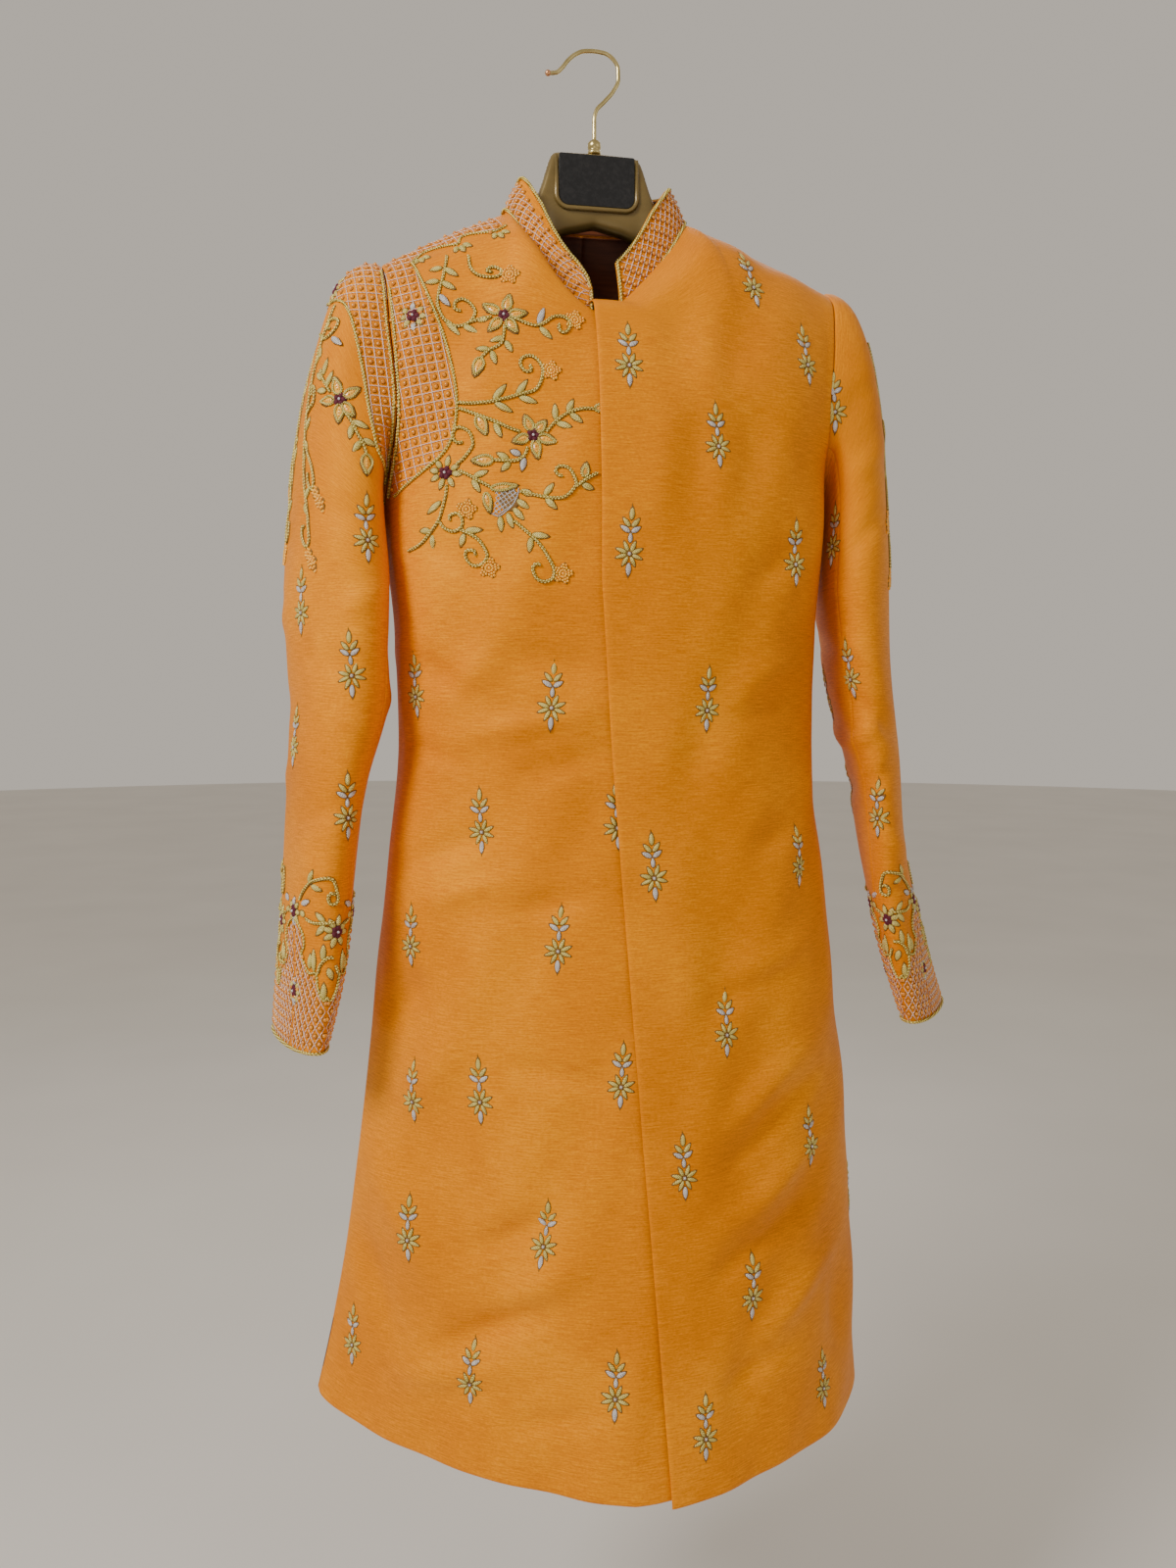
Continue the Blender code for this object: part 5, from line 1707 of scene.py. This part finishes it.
def cap_lattice(view, view_sign):
    """The sleeve cap's share of the shoulder lattice, between the armhole seam and its border."""
    seen = sleeve_ground.seen_from(view, VIEW_DISTANCE)

    def place(x, z):
        return seen(view_sign * x, z)

    stitches = Stitches()
    shown = (view_sign * (cap_ring[:, 1] - cap_top[1]) < 0) & (cap_ring[:, 2] > -0.425)
    seam = cap_ring[shown][:, [0, 2]]
    seam = seam[np.argsort(-seam[:, 1])]
    border = smoothed(millimetres(SLEEVE_BORDER))
    cap = CLOTHS["sleeve_right"][0].reshape(-1, 3)[:, [0, 2]]
    crest = []
    for x in np.linspace(-0.242, -0.206, 10):
        crest.append((x, cap[np.abs(cap[:, 0] - x) < 0.003, 1].max() + 0.001))
    outline = [*border.tolist(), *crest, *seam.tolist()]
    lattice(stitches, place, outline, CAP_TURNS, CELL)
    sew(stitches, place, millimetres(SLEEVE_BORDER), BORDER_CORD, CORD)
    seam_cord = [(x - SEAM_CORD_INSET, z) for x, z in seam[4::6].tolist()]
    sew(stitches, place, seam_cord, CAP_SEAM_CORD, CORD)
    stitches.finish("lattice_sleeve_right_" + view)


cap_lattice("front", 1)
cap_lattice("back", -1)

SLEEVE_STEMS = [
    [(-247, -335), (-253, -322), (-255, -312)],
    [(-235, -353), (-229, -362), (-224, -373), (-220, -380), (-217, -390)],
    [(-255, -274), (-253, -282), (-248, -283), (-242, -278), (-239, -271), (-242, -267),
     (-247, -268), (-249, -273), (-246, -276)],
]
SLEEVE_LEAVES = [
    (-248, -334, -72, 13, GOLD), (-251, -330, 24, 14, GOLD), (-253, -324, -30, 13, GOLD),
    (-253, -318, 15, 14, GOLD), (-255, -301, -3, 14, GOLD),
    (-229, -361, 113, 14, GOLD), (-229, -364, -170, 12, GOLD),
    (-220, -377, 113, 11, GOLD), (-221, -378, -144, 12, GOLD),
    (-247, -283, 135, 15, SILVER),
]
# The vine down the outside of the sleeve, measured from its top line and down from the armhole
OUTER_STEMS = [
    [(-27, 60), (-24, 84), (-20, 110), (-17, 140), (-15, 170), (-15, 200), (-17, 222), (-22, 240),
     (-29, 255), (-32, 268), (-27, 277), (-20, 274), (-19, 265), (-23, 262)],
    [(-16, 165), (-22, 157), (-28, 148), (-27, 138), (-21, 139), (-21, 147)],
    [(-15, 190), (-23, 198), (-31, 204), (-35, 214), (-31, 223), (-25, 221), (-24, 213)],
]
OUTER_LEAVES = [
    (-24, 84, 200, 12, GOLD), (-22, 100, 158, 12, GOLD), (-19, 118, 205, 13, GOLD),
    (-16, 150, 155, 12, GOLD), (-15, 180, 205, 13, GOLD), (-22, 196, 120, 12, GOLD),
    (-16, 210, 160, 12, GOLD), (-21, 236, 205, 12, GOLD), (-26, 250, 120, 11, GOLD),
]
OUTER_CLUSTERS = [(-41, 222), (-35, 282)]


def outer_vines(stitches, patch, flower_down):
    """The vine down the outside of a sleeve, its mirror image, and the flower at their start."""
    for flip in (1, -1):

        def place(across, down, flip=flip):
            return patch(flip * across, down)

        sew_vine(stitches, place, OUTER_STEMS, OUTER_LEAVES, (), OUTER_CLUSTERS)
    small_flower(stitches, patch, 0.0, flower_down, SMALL_PETALS)


sleeve_view = sleeve_ground.seen_from("front")
stitches = Stitches()
sew_vine(stitches, sleeve_view, SLEEVE_STEMS, SLEEVE_LEAVES, [(-217, -390, 180, 18, 11)])
flower(
    stitches, sleeve_view, -0.239, -0.342, [(-12, 20), (60, 19), (142, 19), (184, 20), (-90, 17)]
)
outer_vines(stitches, SLEEVES["right"], 0.052)
stitches.finish("vines_sleeve_right")

stitches = Stitches()
outer_vines(stitches, SLEEVES["left"], 0.046)
stitches.finish("vines_sleeve_left")

# The cuffs, as the right one shows: x and height in millimetres
CUFF_BORDER = [
    (-285, -801), (-280, -805), (-276, -814), (-276, -824), (-279, -831), (-275, -843),
    (-271, -847), (-264, -846), (-262, -857), (-257, -867), (-251, -872), (-247, -868),
]
CUFF_STEMS = [
    [(-278, -783), (-274, -775), (-267, -766), (-258, -762), (-249, -761), (-241, -765),
     (-240, -774), (-241, -781), (-246, -784), (-251, -783), (-252, -777), (-248, -774),
     (-245, -776)],
    [(-273, -798), (-267, -801), (-256, -801), (-246, -800)],
    [(-262, -846), (-259, -838), (-252, -832), (-245, -832)],
]
CUFF_LEAVES = [
    (-269, -767, 24, 13, GOLD), (-268, -768, 112, 11, GOLD), (-278, -787, 63, 11, SILVER),
    (-255, -800, -47, 11, GOLD), (-255, -802, -139, 12, GOLD), (-273, -797, -50, 7, GOLD),
    (-272, -843, 7, 13, GOLD), (-267, -845, 0, 19, GOLD), (-257, -834, 3, 13, GOLD),
    (-253, -870, -5, 14, GOLD), (-250, -842, 150, 10, GOLD),
]


# The drawing on the right cuff is centred here and read over these heights and widths
CUFF_CENTRE_X, CUFF_CENTRE_Z = -0.27, -0.84
CUFF_HEIGHTS = np.linspace(-0.925, -0.745, 19)
CUFF_WIDTHS = np.linspace(-0.300, -0.240, 25)


def powers(x, z):
    """The terms of a smooth surface over the cuff: up to x cubed and z squared."""
    across, up = x - CUFF_CENTRE_X, z - CUFF_CENTRE_Z
    return np.array([across**i * up**j for i in range(4) for j in range(3)])


def cuff_drawing():
    """Reads the front view smoothly: distance round and distance up from the hem."""
    cuff = SLEEVES["cuff_right"]
    terms, found = [], []
    for z in CUFF_HEIGHTS:
        for x in CUFF_WIDTHS:
            hit, _ = sleeve_view(x, z)
            apart = np.linalg.norm(cuff.grid - hit, axis=2)
            spot = np.unravel_index(np.argmin(apart), apart.shape)
            terms.append(powers(x, z))
            found.append((cuff.s[spot], cuff.t[spot]))
    fit = np.linalg.lstsq(np.array(terms), np.array(found), rcond=None)[0]

    def drawing(x, z):
        around, up = powers(x, z) @ fit
        return float(around), float(up)

    return drawing


drawing = cuff_drawing()
ARCHES = 3
FAR_SIDE_LIMIT = -257
border = smoothed([drawing(0.001 * x, 0.001 * z) for x, z in CUFF_BORDER])
peak = drawing(-0.285, -0.801)[0]
half_arch = border[-1][0] - peak


def cuff_place(patch, middle, side, from_view=None):
    """One arch of the pattern round a cuff: its middle, and its left or mirrored half.

    Its spots are distances round and up, or x and height where from_view turns them into those.
    """
    girth = patch.s[0, -1] - patch.s[0, 0]
    scale = girth / (2 * ARCHES) / abs(half_arch)

    def place(x, z):
        s, t = from_view(x, z) if from_view else (x, z)
        around = middle * girth / ARCHES + side * scale * (s - peak) + peak
        start = patch.s[0, 0]
        return patch((around - start) % girth + start, t)

    return place


for name in SLEEVE_SIDE:
    patch = SLEEVES["cuff_" + name]
    stitches = Stitches()
    for middle in range(ARCHES):
        for side in (1, -1):
            place = cuff_place(patch, middle, side)
            outline = [*border.tolist(), (border[-1][0], 0.001), (peak, 0.001)]
            lattice(stitches, place, outline, (58, 122), 0.0080)
            sew(stitches, place, border, THIN_BORDER_CORD, CORD)
            stems, leaves = CUFF_STEMS, CUFF_LEAVES
            if side < 0:
                # The curl and its two leaves grow on one side only
                stems = [[spot for spot in stem if spot[0] < FAR_SIDE_LIMIT] for stem in stems[1:]]
                leaves = [row for row in leaves[2:] if row[0] < FAR_SIDE_LIMIT]
            sew_vine(stitches, cuff_place(patch, middle, side, drawing), stems, leaves)
        valley = cuff_place(patch, middle, 1, drawing)
        small_flower(stitches, valley, -0.243, -0.809, SMALL_PETALS)
        centre = cuff_place(patch, middle, 1)
        small_flower(stitches, centre, peak, drawing(-0.287, -0.794)[1], LATTICE_PETALS)
        small_flower(stitches, centre, peak, drawing(-0.289, -0.867)[1], LATTICE_PETALS)
    hem = [(s, 0.0016) for s in np.linspace(patch.s[0, 0] + 0.001, patch.s[0, -1] - 0.001, 30)]
    sew(stitches, patch, hem, BORDER_CORD, CORD)
    stitches.finish("cuff_stitching_" + name)

# The collar's lattice and its four edge cords
band_grid, band_normal, _ = CLOTHS["collar"]
band = Patch(band_grid, band_normal, 0)
length = band.s[0, -1]
stitches = Stitches()
upper = []
for s in np.linspace(0.003, length - 0.003, 60):
    column = int(np.interp(s, band.s[0], band.columns))
    upper.append((s, band.t[-1, column] - 0.002))
lattice(stitches, band, [(0.003, 0.002), *upper, (length - 0.003, 0.002)], (42, 138), 0.0094)
for spots in (
    (band_grid[-1], band_normal[-1]),
    (band_grid[0] + np.array([0, 0, 0.001]), band_normal[0]),
    (band_grid[:, 0], band_normal[:, 0]),
    (band_grid[:, -1], band_normal[:, -1]),
):
    walked = np.concatenate([[0], np.linalg.norm(np.diff(spots[0], axis=0), axis=1).cumsum()])
    at = np.arange(0, walked[-1], 0.001)
    line = [np.stack([np.interp(at, walked, table[:, k]) for k in range(3)], -1) for table in spots]
    sew_line(stitches, line[0], line[1], COLLAR_CORD, CORD)
stitches.finish("lattice_collar")


# Hanger: the solids' shapes with smooth skins, a moulded rim, a turned ferrule and a ball tip
HANGER_BARS = [
    # x, top, bottom, half thickness
    (0.000, -0.0925, -0.1600, 0.0125),
    (0.028, -0.0930, -0.1665, 0.0125),
    (0.041, -0.0940, -0.1720, 0.0125),
    (0.044, -0.0990, -0.1735, 0.0132),
    (0.050, -0.1200, -0.1770, 0.0140),
    (0.057, -0.1390, -0.1820, 0.0150),
    (0.066, -0.1480, -0.1890, 0.0155),
    (0.086, -0.1591, -0.2040, 0.0165),
    (0.120, -0.1727, -0.2200, 0.0175),
    (0.160, -0.1917, -0.2370, 0.0190),
    (0.190, -0.2080, -0.2475, 0.0195),
    (0.202, -0.2166, -0.2455, 0.0150),
]
WIRE_RADIUS = 0.002
BALL_RADIUS = 0.0029
HOOK_CURVE = [
    # x, z of the wire's middle, from the ferrule up and round to the tip
    (0.0000, -0.0787),
    (0.0000, -0.0600),
    (0.0020, -0.0515),
    (0.0095, -0.0430),
    (0.0180, -0.0330),
    (0.0230, -0.0220),
    (0.0228, -0.0120),
    (0.0180, -0.0035),
    (0.0095, 0.0012),
    (0.0000, 0.0020),
    (-0.0095, 0.0012),
    (-0.0180, -0.0025),
    (-0.0250, -0.0085),
    (-0.0310, -0.0160),
    (-0.0365, -0.0205),
    (-0.0440, -0.0215),
]
FERRULE_PROFILE = [
    # radius, height
    (0.0050, -0.0922),
    (0.0062, -0.0914),
    (0.0062, -0.0892),
    (0.0053, -0.0884),
    (0.0053, -0.0874),
    (0.0062, -0.0866),
    (0.0062, -0.0818),
    (0.0052, -0.0802),
    (0.0036, -0.0793),
    (0.0021, -0.0790),
]
LABEL_BOX = {"left": -0.036, "right": 0.036, "top": -0.0975, "bottom": -0.1440}
LABEL_CORNER = 0.009
LABEL_TOP_CORNER = 0.002
LABEL_FRONT = 0.0128
LABEL_WALL = 0.0012
LABEL_EDGE = 0.0004
RIM_THICKNESS = 0.0046


def hanger_body():
    """The moulded hanger as one smooth swept form with rounded tips."""
    right = [(-x, *rest) for x, *rest in reversed(HANGER_BARS[1:])]
    bars = np.array(right + HANGER_BARS)
    stations = np.linspace(bars[0, 0], bars[-1, 0], 181)
    columns = []
    for k in (1, 2, 3):
        line = np.interp(stations, bars[:, 0], bars[:, k])
        for _ in range(2):
            line[1:-1] = (line[:-2] + 2 * line[1:-1] + line[2:]) / 4
        columns.append(line)
    turn = np.linspace(0, 2 * np.pi, 44, endpoint=False)
    power = 2 / 3.2
    rings = []
    for x, top, bottom, half in zip(stations, *columns):
        to_tip = np.clip((abs(x) - 0.192) / 0.0102, 0, 1)
        shrink = max(0.12, math.sqrt(1 - to_tip**2))
        middle, tall = (top + bottom) / 2, (top - bottom) / 2 * shrink
        y = half * shrink * np.sign(np.cos(turn)) * np.abs(np.cos(turn)) ** power
        z = middle + tall * np.sign(np.sin(turn)) * np.abs(np.sin(turn)) ** power
        rings.append(np.stack([np.full(len(turn), x), y, z], axis=-1))
    return np.concatenate(rings), ring_faces(len(rings), len(turn))


def plate_outline(inset=0.0):
    """The plate's outline as x and height, clockwise from the top left."""
    outline = []
    for side_x, side_z, corner, start in (
        ("left", "top", LABEL_TOP_CORNER, 180),
        ("right", "top", LABEL_TOP_CORNER, 90),
        ("right", "bottom", LABEL_CORNER, 0),
        ("left", "bottom", LABEL_CORNER, -90),
    ):
        in_x = -1 if side_x == "right" else 1
        in_z = -1 if side_z == "top" else 1
        centre = (LABEL_BOX[side_x] + in_x * corner, LABEL_BOX[side_z] + in_z * corner)
        for step in range(8):
            turn = math.radians(start - 90 * step / 7)
            radius = corner - inset
            spot = (centre[0] + radius * math.cos(turn), centre[1] + radius * math.sin(turn))
            outline.append(spot)
    return outline


def hanger_pieces():
    points, faces = hanger_body()
    body = mesh_piece("hanger_skin", points, faces, [PLASTIC])
    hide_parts("hanger_body")

    levels = [(0.0, 0.0), (LABEL_WALL - LABEL_EDGE, 0.0), (LABEL_WALL, LABEL_EDGE)]
    rings = [[(x, -LABEL_FRONT - out, z) for x, z in plate_outline(inset)] for out, inset in levels]
    faces = [face[::-1] for face in ring_faces(len(rings), len(rings[0]))]
    plate = mesh_piece("hanger_plate", np.concatenate(rings), faces, [PLATE], smooth=False)
    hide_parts("hanger_label")

    rim = Stitches()
    around = plate_outline(-0.0024)
    lower = [(x, -LABEL_FRONT + 0.0010, z) for x, z in [*around[16:], around[0]]]
    upper = [(around[15][0], -LABEL_FRONT + 0.0010, around[15][1])]
    line = np.array(upper + lower)
    facing = np.broadcast_to(np.array([0.0, -1.0, 0.0]), line.shape)
    sew_line(rim, line, facing, RIM_THICKNESS, PLASTIC, strands=1, sides=12)
    rim.finish("hanger_rim")

    count = 32
    turn = np.linspace(0, 2 * np.pi, count, endpoint=False)
    rings = [
        np.stack([radius * np.cos(turn), radius * np.sin(turn), np.full(count, height)], axis=-1)
        for radius, height in FERRULE_PROFILE
    ]
    faces = ring_faces(len(rings), count)
    socket = mesh_piece("hanger_socket", np.concatenate(rings), faces, [BRASS])
    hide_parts("hanger_ferrule")

    bends = np.array([(x, 0.0, z) for x, z in HOOK_CURVE])
    lengths = np.concatenate([[0], np.cumsum(np.linalg.norm(np.diff(bends, axis=0), axis=1))])
    line = through(bends, lengths, np.linspace(0, lengths[-1], 180))
    along = unit(np.gradient(line, axis=0))
    aside = np.cross((0.0, 1.0, 0.0), along)
    turn = np.linspace(0, 2 * np.pi, 16, endpoint=False)
    forward = np.array([0.0, 1.0, 0.0])
    ring = aside[:, None] * np.cos(turn)[:, None] + forward * np.sin(turn)[:, None]
    points = (line[:, None] + WIRE_RADIUS * ring).reshape(-1, 3)
    faces = ring_faces(len(line), len(turn))
    bpy.ops.object.select_all(action="DESELECT")
    bpy.ops.mesh.primitive_uv_sphere_add(segments=24, ring_count=14, radius=BALL_RADIUS)
    ball = bpy.context.object
    ball_points = np.array([vertex.co[:] for vertex in ball.data.vertices]) + line[-1]
    ball_faces = [tuple(i + len(points) for i in face.vertices) for face in ball.data.polygons]
    bpy.data.objects.remove(ball, do_unlink=True)
    picks = [0] * len(faces) + [1] * len(ball_faces)
    points, faces = np.concatenate([points, ball_points]), faces + ball_faces
    hook = mesh_piece("hanger_wire", points, faces, [BRASS, COPPER], picks)
    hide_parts("hanger_hook")


hanger_pieces()


# Studio
CAMERA_TURN = 11
CAMERA_TILT = 4.57
CAMERA_DISTANCE = 1.2
CAMERA_ASIDE = 0.006
CAMERA_HEIGHT = -0.592
CAMERA_LENS = 28.125
LIGHTS = [
    # name, place, aimed at, size, watts
    ("key", (-2.0, -1.4, 0.9), (0, 0, -0.6), 0.9, 66),
    ("fill", (1.9, -2.0, 0.0), (0, 0, -0.7), 2.0, 5),
    ("back", (0.6, 2.2, 0.8), (0, 0, -0.6), 1.8, 12),
    ("low", (-0.4, -2.4, -1.5), (0, 0, -0.9), 1.6, 3),
]
WORLD_COLOUR = (0.60, 0.55, 0.485, 1)
WORLD_STRENGTH = 0.9
FLOOR_RADIUS = 14
FLOOR_HEIGHT = -1.75


def camera_and_lights():
    turn, tilt = math.radians(CAMERA_TURN), math.radians(CAMERA_TILT)
    data = bpy.data.cameras.new("camera")
    data.lens = CAMERA_LENS
    data.sensor_width = 36
    camera = bpy.data.objects.new("camera", data)
    aside = -CAMERA_DISTANCE * math.sin(turn) - CAMERA_ASIDE
    camera.location = (aside, -CAMERA_DISTANCE * math.cos(turn), CAMERA_HEIGHT)
    camera.rotation_euler = (math.pi / 2 - tilt, 0, -turn)
    bpy.context.scene.collection.objects.link(camera)
    bpy.context.scene.camera = camera
    for name, place, target, size, watts in LIGHTS:
        lamp = bpy.data.lights.new(name, "AREA")
        lamp.shape = "DISK"
        lamp.size = size
        lamp.energy = watts
        lit = bpy.data.objects.new(name, lamp)
        lit.location = place
        lit.rotation_euler = (Vector(target) - Vector(place)).to_track_quat("-Z", "Y").to_euler()
        bpy.context.scene.collection.objects.link(lit)
    world = bpy.data.worlds.new("studio")
    world.use_nodes = True
    background = world.node_tree.nodes["Background"]
    background.inputs["Color"].default_value = WORLD_COLOUR
    background.inputs["Strength"].default_value = WORLD_STRENGTH
    bpy.context.scene.world = world


def floor():
    bpy.ops.mesh.primitive_circle_add(
        vertices=96, radius=FLOOR_RADIUS, fill_type="NGON", location=(0, 0, FLOOR_HEIGHT)
    )
    ground = bpy.context.object
    ground.name = "floor"
    material, tree, shader = new_material("pale_floor", Roughness=0.8)
    mottle = noise(tree, object_coordinates(tree), 1.5, 2.0)
    tint(tree, shader, mottle, (0.3, (0.70, 0.665, 0.61)), (0.7, (0.74, 0.705, 0.65)))
    ground.data.materials.append(material)


camera_and_lights()
floor()
